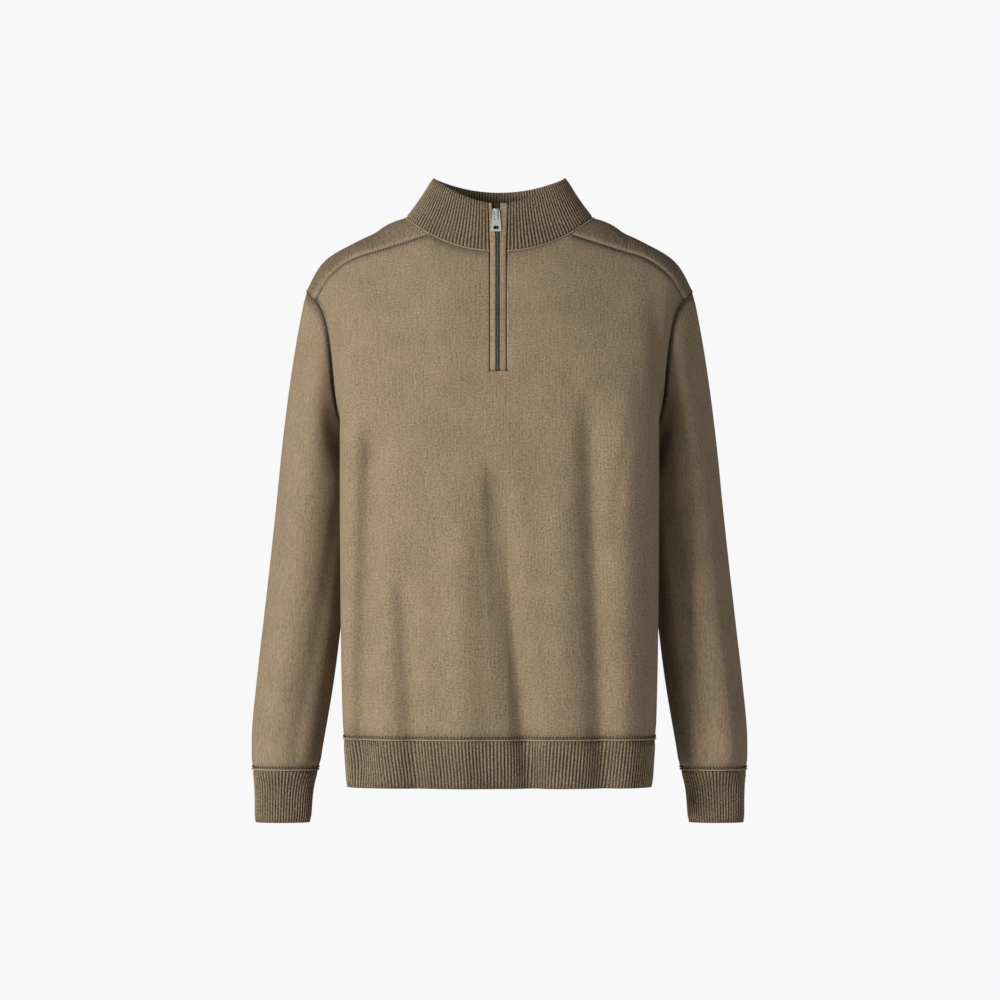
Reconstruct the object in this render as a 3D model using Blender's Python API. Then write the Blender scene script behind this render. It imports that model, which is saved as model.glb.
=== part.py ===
"""Quarter zip sweater, filled out as if worn, with nobody in it.

A knitted body of a front and a back, two shoulder strips that cross the shoulders, two
sleeves, ribbed hem, cuffs and stand collar, and a short zip between two edging strips.

Metres, +Z up. The front faces -Y. The origin is in the middle of the neck hole, level
with the highest points of the shoulders, where a wearer holds the garment up.

Every piece is a thin wall. Its outer face is a grid of points worked out from the tables
below, and its inner face is the same grid moved inwards by the wall.
"""

import math

import bpy
import numpy as np

# ---- Cloth and seams -------------------------------------------------------------------
JERSEY_WALL = 0.0020
STRIP_WALL = 0.0022
RIB_WALL = 0.0024
COLLAR_WALL = 0.0030
SEAM_GAP = 0.0003  # between two pieces at a seam

# ---- Levels ----------------------------------------------------------------------------
HEM_BOTTOM = -0.681
HEM_SEAM = -0.623
UNDERARM = -0.268
SLEEVE_ROUND = -0.335  # where the sleeve's sections become level ovals
CUFF_SEAM = -0.662
CUFF_BOTTOM = -0.726

# ---- Neck ------------------------------------------------------------------------------
NECK_HALF_WIDTH = 0.113
NECK_FRONT, NECK_BACK = -0.080, 0.062  # y of the collar seam at centre front and back
NECK_FRONT_DROP, NECK_BACK_DROP = 0.042, 0.022
TOP_HALF_WIDTH = 0.080
TOP_FRONT, TOP_BACK = -0.066, 0.046
TOP_SIDE_RISE, TOP_FRONT_RISE, TOP_BACK_RISE = 0.0486, 0.0156, 0.0331
STRIP_AT_NECK = 0.084  # x where the shoulder strip's seams meet the collar

# ---- Zip -------------------------------------------------------------------------------
PLACKET_LEFT, PLACKET_RIGHT = -0.0118, 0.0086  # the slot in the front
PLACKET_TOP_LEFT, PLACKET_TOP_RIGHT = -0.0138, 0.0106  # the same slot at the collar's top
PLACKET_BOTTOM = -0.186
EDGING_GAP = 0.0007  # between the edging strips and the slot's sides
CHAIN_X, CHAIN_GAP = -0.0020, 0.0042  # the gap between the edging strips
SLIDER_X, SLIDER_GAP = -0.0040, 0.0094  # the same gap where the slider sits
FLARE_LOW, FLARE_HEIGHT = -0.0235, 0.015
STRIP_PROUD, STRIP_DEPTH = 0.0007, 0.0018
CHAIN_FRONT, CHAIN_BACK, CHAIN_WIDTH, CHAIN_TOP = 0.0005, 0.0018, 0.0034, -0.0104
TAPE_FRONT, TAPE_BACK, TAPE_HALF_WIDTH = 0.0021, 0.0030, 0.0080

# ---- How finely the cloth is divided ---------------------------------------------------
NECK_CELLS, SHOULDER_CELLS, ARCH_CELLS = 4, 8, 6
LOW_ROWS, PLACKET_ROWS, CHEST_ROWS = 7, 6, 4
SLEEVE_TOP_ROWS, SLEEVE_ROWS, RIB_ROWS, COLLAR_ROWS = 6, 7, 2, 3
ZIP_COLLAR_ROWS = 12
NECK_COLUMN = 0.255  # share of a half row that lies under the collar


def table(columns, *rows):
    """A short table with named columns, as a dictionary of arrays."""
    return dict(zip(columns.split(), np.array(rows, float).T))


# Level sections of the body. half_width is at the widest point, which lies forward of the
# middle, at y = widest. front and back are the depths from there. squareness is the
# exponent of the oval, 2 for an ellipse.
BODY = table(
    "z half_width widest front back front_squareness back_squareness",
    (-0.681, 0.1830, -0.038, 0.078, 0.150, 2.9, 2.3),
    (-0.623, 0.1865, -0.040, 0.082, 0.156, 2.9, 2.3),
    (-0.559, 0.1885, -0.041, 0.084, 0.158, 2.9, 2.25),
    (-0.450, 0.1900, -0.045, 0.084, 0.160, 2.8, 2.05),
    (-0.340, 0.1905, -0.050, 0.082, 0.166, 2.8, 1.95),
    (-0.268, 0.1905, -0.052, 0.080, 0.168, 2.8, 1.95),
)
SIDE_SEAM_ANGLE = math.radians(27)  # behind the widest point

# Soft folds of the body: a ridge has a positive height and a trough a negative one. Each
# runs from (x_top, z_top) to (x_low, z_low). side is -1 on the front and +1 on the back.
FOLDS = table(
    "side x_top z_top x_low z_low half_width height",
    (-1, -0.153, -0.190, -0.168, -0.560, 0.015, -0.0050),
    (-1, -0.116, -0.400, -0.100, -0.690, 0.015, -0.0048),
    (-1, -0.046, -0.330, -0.042, -0.690, 0.028, 0.0050),
    (-1, -0.008, -0.270, 0.038, -0.690, 0.017, -0.0085),
    (-1, 0.072, -0.300, 0.076, -0.600, 0.024, 0.0030),
    (-1, 0.104, -0.200, 0.124, -0.690, 0.017, -0.0058),
    (-1, 0.150, -0.180, 0.154, -0.690, 0.018, 0.0030),
    (1, -0.110, -0.220, -0.125, -0.640, 0.022, -0.0045),
    (1, -0.030, -0.330, -0.055, -0.690, 0.026, -0.0050),
    (1, 0.020, -0.360, 0.024, -0.690, 0.024, 0.0040),
    (1, 0.074, -0.260, 0.092, -0.690, 0.022, -0.0055),
    (1, 0.128, -0.240, 0.122, -0.560, 0.020, 0.0030),
)
FOLD_FADE = 0.070  # over which a fold starts and ends
SEAM_FADE = 0.12  # share of a half row over which the folds die out at the side seam

# The shoulder strip from the neck, along = 0, to the sleeve, along = 1: its front seam, the
# height of its crest and its back seam.
STRIP = table(
    "along front_x front_y front_z crest_z back_x back_y back_z",
    (0.00, 0.0840, -0.0565, -0.0202, 0.0000, 0.0840, 0.0385, -0.0100),
    (0.25, 0.1400, -0.0440, -0.0375, -0.0140, 0.1380, 0.0440, -0.0340),
    (0.50, 0.1760, -0.0370, -0.0490, -0.0300, 0.1740, 0.0480, -0.0500),
    (0.75, 0.2040, -0.0310, -0.0690, -0.0508, 0.2030, 0.0490, -0.0720),
    (1.00, 0.2226, -0.0220, -0.0980, -0.0870, 0.2226, 0.0430, -0.1000),
)

# The way the cloth rises across the seam that tops a panel, with the length of its lead
# into the panel. share is that of the half row, 0 at the centre and 1 at the armhole.
RISE = table(
    "share front_x front_y front_z front_lead back_x back_y back_z back_lead",
    (0.000, 0.00, 0.36, 0.93, 0.075, 0.00, -0.34, 0.94, 0.085),
    (0.255, 0.00, 0.55, 0.83, 0.078, 0.00, -0.42, 0.90, 0.085),
    (0.620, 0.03, 0.60, 0.80, 0.070, 0.03, -0.50, 0.86, 0.080),
    (1.000, 0.58, 0.72, 0.56, 0.062, 0.36, -0.70, 0.62, 0.062),
)
# The lead up out of the underarm row, and the forward or backward lead that curves the
# armhole's lower edge.
UNDERARM_LEAD = 0.080
ARMHOLE_LEAD = {"front": 0.088, "back": 0.064}
ARMHOLE_LEAD_FROM = 0.55

# Level sections of the sleeve and, below the cuff seam, of the cuff.
SLEEVE = table(
    "z inner outer middle_y depth squareness",
    (-0.335, 0.1770, 0.2685, 0.0450, 0.142, 2.1),
    (-0.415, 0.1840, 0.2770, 0.0420, 0.135, 2.1),
    (-0.487, 0.1910, 0.2850, 0.0370, 0.125, 2.1),
    (-0.559, 0.2000, 0.2930, 0.0300, 0.112, 2.1),
    (-0.631, 0.2120, 0.2985, 0.0210, 0.096, 2.1),
    (-0.662, 0.2175, 0.2975, 0.0180, 0.086, 2.0),
    (-0.674, 0.2210, 0.2960, 0.0170, 0.068, 2.0),
    (-0.726, 0.2270, 0.2945, 0.0130, 0.052, 2.0),
)
ARMHOLE_MIDDLE = np.array((0.203, 0.012, -0.180))
ARMHOLE_LEAN = 0.045  # how far the wall leans outwards along the armhole
SLEEVE_HEAD_OUT = np.array((0.22, 0.0, 0.0))
SLEEVE_HEAD_IN = np.array((0.60, 0.0, 0.0))
SLEEVE_HEAD_FORE = np.array((0.0, -0.10, 0.0))
SLEEVE_COME_IN = (-0.09, 0.0, 0.0)
COLLAR_BOW = 0.0018
OPENING_REACH = 0.9  # radians of the collar over which the slot shapes its top edge

# ---- Slider and pull tab, in the slider's own frame: x across, -y out of the cloth, z up
# along the zip -------------------------------------------------------------------------------
SLIDER_Z = -0.0034  # height of the slider frame's origin
SLIDER_LOW, SLIDER_HIGH = -0.0074, 0.0086  # z of the places where it lies on the zip
BODY_HALF_TOP, BODY_HALF_LOW, BODY_TOP, BODY_LOW = 0.0042, 0.0033, 0.0120, -0.0045
BODY_FRONT, BODY_BACK = -0.0012, 0.0017
BRIDGE_WIDTH, BRIDGE_TOP, BRIDGE_LOW = 0.0032, 0.0118, -0.0005
BRIDGE_FRONT, BRIDGE_THICK = -0.0050, 0.0011
HINGE_Y, HINGE_Z = -0.0026, 0.0091
TAB_TOP, TAB_LOW, TAB_THICK = 0.0009, -0.0252, 0.0012  # ends measured from the hinge
TAB_HALF_TOP, TAB_HALF_LOW = 0.0043, 0.0064
SLOT_HALF, SLOT_TOP, SLOT_LOW = 0.0029, -0.0008, -0.0114
SLOT_CORNER = 0.0008
EYE_MIDDLE, EYE_HALF_WIDTH, EYE_HALF_HEIGHT = -0.0206, 0.0033, 0.0023

# ---- Finishes: base colour (linear), roughness, metallic ---------------------------------
FINISHES = {
    "jersey": ((0.250, 0.186, 0.118), 0.95, 0.0),
    "rib": ((0.225, 0.166, 0.103), 0.95, 0.0),
    "shoulder rib": ((0.235, 0.174, 0.110), 0.95, 0.0),
    "edging": ((0.300, 0.226, 0.148), 0.95, 0.0),
    "zip tape": ((0.040, 0.040, 0.026), 0.80, 0.0),
    "zip metal": ((0.560, 0.550, 0.520), 0.30, 1.0),
}


# ---- Curves --------------------------------------------------------------------------------
def smooth(known_at, known, at):
    """A smooth curve through known values, by cubics whose slopes are those of the chords."""
    slopes = np.gradient(known, known_at)
    left = np.clip(np.searchsorted(known_at, at, side="right") - 1, 0, len(known_at) - 2)
    span = known_at[left + 1] - known_at[left]
    t = np.clip((at - known_at[left]) / span, 0, 1)
    rise = known[left + 1] - known[left]
    a = slopes[left] * span
    b = slopes[left + 1] * span
    return known[left] + t * (a + t * (3 * rise - 2 * a - b + t * (a + b - 2 * rise)))


def read(rows, name, by, at):
    """The named column of a table, read smoothly at values of another column."""
    order = np.argsort(rows[by])
    return smooth(rows[by][order], rows[name][order], np.asarray(at, float))


def ease(t):
    """0 below 0, 1 above 1 and a smooth step between."""
    t = np.clip(t, 0, 1)
    return t * t * (3 - 2 * t)


def bezier(p0, p1, p2, p3, t):
    """Points of a cubic between p0 and p3 for each t, first axis t."""
    t = np.asarray(t)[:, None, None]
    s = 1 - t
    return s**3 * p0 + 3 * s * s * t * p1 + 3 * s * t * t * p2 + t**3 * p3


def unit(v):
    return v / np.maximum(np.linalg.norm(v, axis=-1, keepdims=True), 1e-12)


# ---- The body's form -------------------------------------------------------------------------
def fold_height(x, z, side):
    """How far the folds of one side move the cloth out at a place on it."""
    total = np.zeros(np.broadcast(x, z).shape)
    for i in np.flatnonzero(FOLDS["side"] == side):
        fold = {name: column[i] for name, column in FOLDS.items()}
        down = (fold["z_top"] - z) / (fold["z_top"] - fold["z_low"])
        middle = fold["x_top"] + (fold["x_low"] - fold["x_top"]) * np.clip(down, 0, 1)
        fade = ease((fold["z_top"] - z) / FOLD_FADE) * ease((z - fold["z_low"]) / FOLD_FADE + 1)
        total += fold["height"] * fade * np.exp(-(((x - middle) / fold["half_width"]) ** 2))
    return total


def body_section(z, angle):
    """Points of the level section at z. angle is 0 at the widest point and 90 degrees at
    centre back; the radius is that of an oval of the table's sizes and squareness."""
    size = {name: read(BODY, name, "z", z) for name in BODY}
    ahead = np.sin(angle) < 0
    depth = np.where(ahead, size["front"], size["back"])
    power = np.where(ahead, size["front_squareness"], size["back_squareness"])
    across = np.abs(np.cos(angle) / size["half_width"]) ** power
    along = np.abs(np.sin(angle) / depth) ** power
    radius = (across + along) ** (-1 / power)
    x = radius * np.cos(angle)
    y = size["widest"] + radius * np.sin(angle)
    return np.stack([x, y, np.full_like(x, z)], axis=-1)


def half_row(z, side, shares, hand=1):
    """A level row of the right half, from the centre, share 0, to the side seam, share 1.
    Up to NECK_COLUMN the rows' points keep their x, so the columns there are straight. With
    hand -1 it carries the left half's folds, and is mirrored later."""
    size = {name: float(read(BODY, name, "z", z)) for name in BODY}
    depth, power = (
        (-size["front"], size["front_squareness"])
        if side < 0
        else (size["back"], size["back_squareness"])
    )
    x = STRIP_AT_NECK * shares / NECK_COLUMN
    y = size["widest"] + depth * (1 - np.clip(x / size["half_width"], 0, 1) ** power) ** (1 / power)
    straight = np.stack([x, y, np.full_like(x, z)], axis=-1)
    start = math.atan2(
        depth * (1 - (STRIP_AT_NECK / size["half_width"]) ** power) ** (1 / power), STRIP_AT_NECK
    )
    dense = body_section(z, np.linspace(start, SIDE_SEAM_ANGLE, 400))
    length = np.append(0, np.cumsum(np.linalg.norm(np.diff(dense, axis=0), axis=1)))
    at = length[-1] * (shares - NECK_COLUMN) / (1 - NECK_COLUMN)
    round_side = np.stack([np.interp(at, length, dense[:, k]) for k in range(3)], axis=-1)
    row = np.where((shares <= NECK_COLUMN)[:, None], straight, round_side)
    fade = ease((1 - shares) / SEAM_FADE)
    row[:, 1] += side * fade * fold_height(hand * row[:, 0], z, side)
    return row


def neckline(angle):
    """The collar seam. angle is 0 at the right shoulder and 90 degrees at centre front."""
    c, s = np.cos(angle), np.sin(angle)
    middle, half = (NECK_FRONT + NECK_BACK) / 2, (NECK_BACK - NECK_FRONT) / 2
    front = -NECK_FRONT_DROP * (1 - np.abs(c) ** 2.2)
    back = -NECK_BACK_DROP * (1 - c * c)
    return np.stack([NECK_HALF_WIDTH * c, middle - half * s, np.where(s > 0, front, back)], axis=-1)


def collar_top(angle):
    """The collar's top edge, with the same angles as its seam."""
    c, s = np.cos(angle), np.sin(angle)
    middle, half = (TOP_FRONT + TOP_BACK) / 2, (TOP_BACK - TOP_FRONT) / 2
    low = np.where(s > 0, TOP_FRONT_RISE, TOP_BACK_RISE)
    z = low + (TOP_SIDE_RISE - low) * c * c
    return np.stack([TOP_HALF_WIDTH * c, middle - half * s, z], axis=-1)


def neck_angle(x):
    """The neckline's angle at a distance x from the centre."""
    return np.arccos(np.clip(x / NECK_HALF_WIDTH, -1, 1))


def side_name(side):
    return "front" if side < 0 else "back"


def strip_seam(along, side):
    """The shoulder strip's front or back seam."""
    name = side_name(side)
    return np.stack([read(STRIP, f"{name}_{k}", "along", along) for k in "xyz"], axis=-1)


def top_row(shares, side):
    """The upper edge of a panel's right half: the neckline, then the strip's seam."""
    angle = -side * neck_angle(STRIP_AT_NECK * shares / NECK_COLUMN)
    along = np.clip((shares - NECK_COLUMN) / (1 - NECK_COLUMN), 0, 1)
    return np.where((shares <= NECK_COLUMN)[:, None], neckline(angle), strip_seam(along, side))


def rise(shares, side):
    """The direction in which the cloth rises across a panel's upper edge."""
    name = side_name(side)
    return unit(np.stack([read(RISE, f"{name}_{k}", "share", shares) for k in "xyz"], axis=-1))


def chest(shares, side, t, hand=1):
    """The panel above the underarm, as cubics from the underarm row to the upper edge."""
    name = side_name(side)
    low = half_row(UNDERARM, side, shares, hand)
    step = 0.010
    slope = (low - half_row(UNDERARM - step, side, shares, hand)) / step
    to_centre = unit(half_row(UNDERARM, side, shares - 0.01) - half_row(UNDERARM, side, shares))
    edge = ease((shares - ARMHOLE_LEAD_FROM) / (1 - ARMHOLE_LEAD_FROM))[:, None] ** 1.5
    low_lead = low + slope * UNDERARM_LEAD * (1 - 0.9 * edge)
    low_lead = low_lead + to_centre * ARMHOLE_LEAD[name] * edge
    top = top_row(shares, side)
    lead = read(RISE, f"{name}_lead", "share", shares)[:, None]
    return bezier(low, low_lead, top - rise(shares, side) * lead, top, t)


def strip_arch(along, across):
    """The shoulder strip: cubic arches from the front seam over the crest to the back seam,
    drawn at the neck end to the neckline."""
    front, back = strip_seam(along, -1), strip_seam(along, 1)
    shares = NECK_COLUMN + (1 - NECK_COLUMN) * along
    up_front, up_back = rise(shares, -1), rise(shares, 1)
    crest = read(STRIP, "crest_z", "along", along)[:, None]
    middle = (front + back)[:, 2:] / 2
    lead = (crest - middle) / (0.375 * (up_front + up_back)[:, 2:])
    arch = bezier(front, front + up_front * lead, back + up_back * lead, back, across)
    start = neck_angle(STRIP_AT_NECK)
    seam = neckline(start * (1 - 2 * across))
    fade = (1 - ease(along / 0.35))[None, :, None]
    return arch + fade * (seam - arch[:, 0])[:, None, :]


# ---- Sampling shared by neighbouring pieces ------------------------------------------------
def shares_from(x):
    """Shares of a half row from x beside the centre out to the side seam."""
    start = NECK_COLUMN * x / STRIP_AT_NECK
    neck = np.linspace(start, NECK_COLUMN, NECK_CELLS + 1)
    return np.append(neck[:-1], np.linspace(NECK_COLUMN, 1, SHOULDER_CELLS + 1))


def placket_share():
    """How far up the chest the placket's lower end is."""
    t = np.linspace(0, 1, 400)
    heights = chest(np.array([0.02]), -1, t)[:, 0, 2]
    return float(np.interp(PLACKET_BOTTOM, heights, t))


CHEST_T = np.append(
    np.linspace(0, placket_share(), CHEST_ROWS + 1)[:-1],
    np.linspace(placket_share(), 1, PLACKET_ROWS + 1),
)
ACROSS = np.linspace(0, 1, ARCH_CELLS + 1)
MIRROR = np.array((-1.0, 1.0, 1.0))
RIM_RANK = np.array((1.0, 0.37, 0.61))  # any direction does that is square to no rim


# ---- Walls ---------------------------------------------------------------------------------
def normals_of(grid, closed):
    """Unit normals of a grid of points; closed joins its last column to its first."""
    wide = np.concatenate([grid[:, -1:], grid, grid[:, :1]], axis=1) if closed else grid
    across = np.gradient(wide, axis=1)
    across = across[:, 1:-1] if closed else across
    return unit(np.cross(across, np.gradient(grid, axis=0)))


def key_of(ends):
    return ends[:, 0].astype(np.int64) * 1_000_000 + ends[:, 1]


def solid(name, points, faces, finish):
    mesh = bpy.data.meshes.new(name)
    mesh.from_pydata([tuple(p) for p in points], [], [tuple(map(int, f)) for f in faces])
    mesh.validate()
    mesh.shade_smooth()
    mesh.set_sharp_from_angle(angle=math.radians(50))
    obj = bpy.data.objects.new(name, mesh)
    bpy.context.collection.objects.link(obj)
    obj.data.materials.append(material(finish))
    return obj


def material(finish):
    found = bpy.data.materials.get(finish)
    if found:
        return found
    colour, roughness, metallic = FINISHES[finish]
    made = bpy.data.materials.new(finish)
    made.use_nodes = True
    shader = made.node_tree.nodes["Principled BSDF"]
    shader.inputs["Base Color"].default_value = (*colour, 1)
    shader.inputs["Roughness"].default_value = roughness
    shader.inputs["Metallic"].default_value = metallic
    made.diffuse_color = (*colour, 1)
    return made


def apart(line, normals, towards):
    """How one edge moves off a seam: half the gap, square to the plane that holds the seam
    and the wall's direction there."""
    off = unit(np.cross(np.gradient(line, axis=0), normals))
    sign = np.sign(np.sum(off * np.asarray(towards, float), axis=-1, keepdims=True))
    return off * sign * SEAM_GAP / 2


def shell(name, grid, normals, move, thickness, finish, closed=False, hole=None, flip=False):
    """A thin wall: the grid moved by move is its outer face, and its inner face lies along
    the normals behind it. hole marks the cells that are left out."""
    outer = grid + move
    inner = outer - normals * thickness
    rows, columns = grid.shape[:2]
    number = np.arange(rows * columns).reshape(rows, columns)
    if closed:
        number = np.concatenate([number, number[:, :1]], axis=1)
    corners = (number[:-1, :-1], number[:-1, 1:], number[1:, 1:], number[1:, :-1])
    keep = np.ones(corners[0].shape, bool) if hole is None else ~hole
    quads = np.stack(corners, axis=-1)[keep]
    if flip:
        quads = quads[:, ::-1]
    ends = np.concatenate([quads[:, [k, (k + 1) % 4]] for k in range(4)])
    rim_ends = ends[~np.isin(key_of(ends[:, ::-1]), key_of(ends))]
    behind = rows * columns
    first, second = rim_ends.T
    points = np.concatenate([outer.reshape(-1, 3), inner.reshape(-1, 3)])
    # Neighbours split their facing rims along the same diagonals, so they stay parallel.
    rank = np.abs(points) @ RIM_RANK
    swap = (rank[first] > rank[second])[:, None]
    one = np.stack([second, first, first + behind], axis=-1)
    two = np.stack([second, first + behind, second + behind], axis=-1)
    other_one = np.stack([second, first, second + behind], axis=-1)
    other_two = np.stack([first, first + behind, second + behind], axis=-1)
    rim = np.concatenate([np.where(swap, one, other_one), np.where(swap, two, other_two)])
    faces = [*quads, *(quads[:, ::-1] + behind), *rim]
    used = np.unique(np.concatenate([np.ravel(quads), np.ravel(quads) + behind]))
    renumber = np.zeros(len(points), int)
    renumber[used] = np.arange(len(used))
    return solid(name, points[used], [renumber[face] for face in faces], finish)


# ---- Body pieces ---------------------------------------------------------------------------
def panel_rows(shares, side, hand):
    """Rows of half a panel from the hem seam up to the neckline and the strip's seam."""
    levels = np.linspace(HEM_SEAM, UNDERARM, LOW_ROWS + 1)[:-1]
    low = np.stack([half_row(z, side, shares, hand) for z in levels])
    return np.concatenate([low, chest(shares, side, CHEST_T, hand)])


def armhole_mitre(line):
    """The wall's direction along a right armhole: away from its middle, and outwards."""
    return unit((line - ARMHOLE_MIDDLE) * (0.0, 1.0, 1.0) + (ARMHOLE_LEAN, 0, 0))


def side_mitre(line):
    """The wall's direction along a right side seam: level and square to the row's oval."""
    half, back, widest = (read(BODY, k, "z", line[:, 2]) for k in ("half_width", "back", "widest"))
    x, y = line[:, 0] / half**2, (line[:, 1] - widest) / back**2
    return unit(np.stack([x, y, np.zeros_like(x)], axis=-1))


def seam_mitre(line, up):
    """The wall's direction along a strip's seam: square to it and to the cloth's rise."""
    mitre = unit(np.cross(np.gradient(line, axis=0), up))
    return mitre * np.sign(mitre[:, 2:])


def level(normals):
    """The wall's directions made level, for an edge that is cut level."""
    return unit(normals * (1, 1, 0))


def neck_mitre(line):
    """The wall's direction along the neckline: outwards and up."""
    outwards = unit(line * (1, 1, 0) - (0, (NECK_FRONT + NECK_BACK) / 2, 0))
    return unit(outwards + (0, 0, 1))


def whole_row(left, right):
    """Two right halves made one whole, the first mirrored."""
    return np.concatenate([left[:, ::-1] * MIRROR, right], axis=1)


def side_shares(side):
    """The columns of the left and right halves of a panel."""
    left = -PLACKET_LEFT if side < 0 else PLACKET_RIGHT
    return shares_from(left), shares_from(PLACKET_RIGHT)


def make_panel(name, side):
    """The front or the back, from side seam to side seam. The front is slit for the zip."""
    left, right = side_shares(side)
    grid = whole_row(panel_rows(left, side, -1), panel_rows(right, side, 1))
    normals = normals_of(grid, False) * -side
    move = np.zeros_like(grid)
    for column, mirror in ((0, MIRROR), (-1, 1)):
        edge = grid[LOW_ROWS:, column]
        normals[LOW_ROWS:, column] = armhole_mitre(edge * mirror) * mirror
        inwards = (1 if column == 0 else -1, 0, 0)
        move[LOW_ROWS:, column] = apart(edge, normals[LOW_ROWS:, column], inwards)
        normals[:LOW_ROWS, column] = side_mitre(grid[:LOW_ROWS, column] * mirror) * mirror
        move[: LOW_ROWS + 1, column, 1] += side * SEAM_GAP / 2
    for half, mirror in ((slice(None, SHOULDER_CELLS + 1), MIRROR), (slice(-SHOULDER_CELLS - 1, None), 1)):
        shares = right[NECK_CELLS:][:: -1 if half.start is None else 1]
        normals[-1, half] = seam_mitre(grid[-1, half], rise(shares, side) * mirror)
    neck = slice(SHOULDER_CELLS, -SHOULDER_CELLS)
    normals[-1, neck] = neck_mitre(grid[-1, neck])
    for column, mirror in ((0, MIRROR), (-1, 1)):
        normals[-1, column] = armhole_mitre(grid[-1, column] * mirror) * mirror
    normals[0] = level(normals[0])
    move[-1] += apart(grid[-1], normals[-1], (0, 0, -1))
    move[0, :, 2] = SEAM_GAP / 2
    hole = np.zeros((grid.shape[0] - 1, grid.shape[1] - 1), bool)
    if side < 0:
        hole[LOW_ROWS + CHEST_ROWS :, NECK_CELLS + SHOULDER_CELLS] = True
    return shell(name, grid, normals, move, JERSEY_WALL, "jersey", hole=hole, flip=side > 0)


def body_ring(z):
    """A whole level row of the body: the front from the wearer's right to left, then the
    back, with the columns of the two panels."""
    front = [half_row(z, -1, shares, hand) for hand, shares in zip((-1, 1), side_shares(-1))]
    back = [half_row(z, 1, shares, hand) for hand, shares in zip((-1, 1), side_shares(1))]
    return np.concatenate(
        [front[0][::-1] * MIRROR, front[1][:-1], back[1][::-1], (back[0] * MIRROR)[:-1]]
    )


def make_hem():
    """The ribbed hem, one band all round."""
    levels = np.linspace(HEM_BOTTOM, HEM_SEAM, RIB_ROWS + 1)
    grid = np.stack([body_ring(z) for z in levels])
    normals = normals_of(grid, True)
    move = np.zeros_like(grid)
    move[-1, :, 2] = -SEAM_GAP / 2
    normals[[0, -1]] = level(normals[[0, -1]])
    return shell("hem_rib", grid, normals, move, RIB_WALL, "rib", closed=True)


def make_shoulder_strip(name, mirror):
    """The strip that crosses one shoulder from the collar to the sleeve."""
    along = np.linspace(0, 1, SHOULDER_CELLS + 1)
    grid = strip_arch(along, ACROSS)
    normals = normals_of(grid, False)
    shares = NECK_COLUMN + (1 - NECK_COLUMN) * along
    normals[0] = seam_mitre(grid[0], rise(shares, -1))
    normals[-1] = seam_mitre(grid[-1], rise(shares, 1))
    normals[:, 0] = neck_mitre(grid[:, 0])
    normals[:, -1] = armhole_mitre(grid[:, -1])
    move = np.zeros_like(grid)
    for row, towards in ((0, (0, 1, 0)), (-1, (0, -1, 0))):
        move[row] += apart(grid[row], normals[row], towards)
    move[:, 0] += apart(grid[:, 0], normals[:, 0], (1, 0, 0))
    move[:, -1] += apart(grid[:, -1], normals[:, -1], (-1, 0, 0))
    flip = mirror[0] < 0
    grid, normals, move = grid * mirror, normals * mirror, move * mirror
    return shell(name, grid, normals, move, STRIP_WALL, "shoulder rib", flip=flip)


# ---- Sleeves -------------------------------------------------------------------------------
def armhole():
    """The right armhole as one closed loop: up the front, over the strip and down the back,
    with the rows of the pieces that meet it."""
    edge = np.array([1.0])
    front = chest(edge, -1, CHEST_T)[:, 0]
    back = chest(edge, 1, CHEST_T)[:, 0]
    over = strip_arch(edge, ACROSS)[:, 0]
    return np.concatenate([front[:-1], over[:-1], back[:0:-1]])


def sleeve_ring(z, angle):
    """A level section of the right sleeve; angle is 0 on its inner side and 90 degrees at
    its front."""
    size = {name: float(read(SLEEVE, name, "z", z)) for name in SLEEVE}
    half, depth = (size["outer"] - size["inner"]) / 2, size["depth"] / 2
    power = size["squareness"]
    c, s = np.cos(angle), np.sin(angle)
    radius = (np.abs(c / half) ** power + np.abs(s / depth) ** power) ** (-1 / power)
    x = (size["outer"] + size["inner"]) / 2 - radius * c
    return np.stack([x, size["middle_y"] - radius * s, np.full_like(x, z)], axis=-1)


def sleeve_angles(loop):
    """The section angle of each column, by its share of the armhole's length."""
    steps = np.linalg.norm(np.roll(loop, -1, axis=0) - loop, axis=1)
    share = np.append(0, np.cumsum(steps))[:-1] / steps.sum()
    return 2 * math.pi * share


def sleeve_grid():
    """The right sleeve from the armhole down to the cuff seam. Its head is cubics that
    leave the armhole downwards and outwards and come in upright to the first level oval."""
    loop = armhole()
    angle = sleeve_angles(loop)
    low = sleeve_ring(SLEEVE_ROUND, angle)
    outer = ((1 - np.cos(angle)) / 2)[:, None]
    front = np.sin(angle)[:, None]
    drop = (loop[:, 2] - SLEEVE_ROUND)[:, None]
    leave = outer * SLEEVE_HEAD_OUT + (1 - outer) * SLEEVE_HEAD_IN + (0, 0, -1)
    leave = leave + front * SLEEVE_HEAD_FORE
    come = np.array(SLEEVE_COME_IN) * outer + (0, 0, 1)
    t = np.linspace(0, 1, SLEEVE_TOP_ROWS + 1)
    head = bezier(loop, loop + leave * drop * 0.30, low + come * drop * 0.36, low, t)
    levels = np.linspace(SLEEVE_ROUND, CUFF_SEAM, SLEEVE_ROWS + 1)[1:]
    return np.concatenate([head, np.stack([sleeve_ring(z, angle) for z in levels])])


def make_sleeve(name, mirror):
    grid = sleeve_grid()
    normals = -normals_of(grid, True)
    normals[0] = armhole_mitre(grid[0])
    move = np.zeros_like(grid)
    loop = np.concatenate([grid[0, -1:], grid[0], grid[0, :1]])
    wide = np.concatenate([normals[0, -1:], normals[0], normals[0, :1]])
    move[0] = apart(loop, wide, (1, 0, 0))[1:-1]
    move[-1, :, 2] = SEAM_GAP / 2
    normals[-1] = level(normals[-1])
    grid, normals, move = grid * mirror, normals * mirror, move * mirror
    flip = mirror[0] > 0
    return shell(name, grid, normals, move, JERSEY_WALL, "jersey", closed=True, flip=flip)


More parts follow.
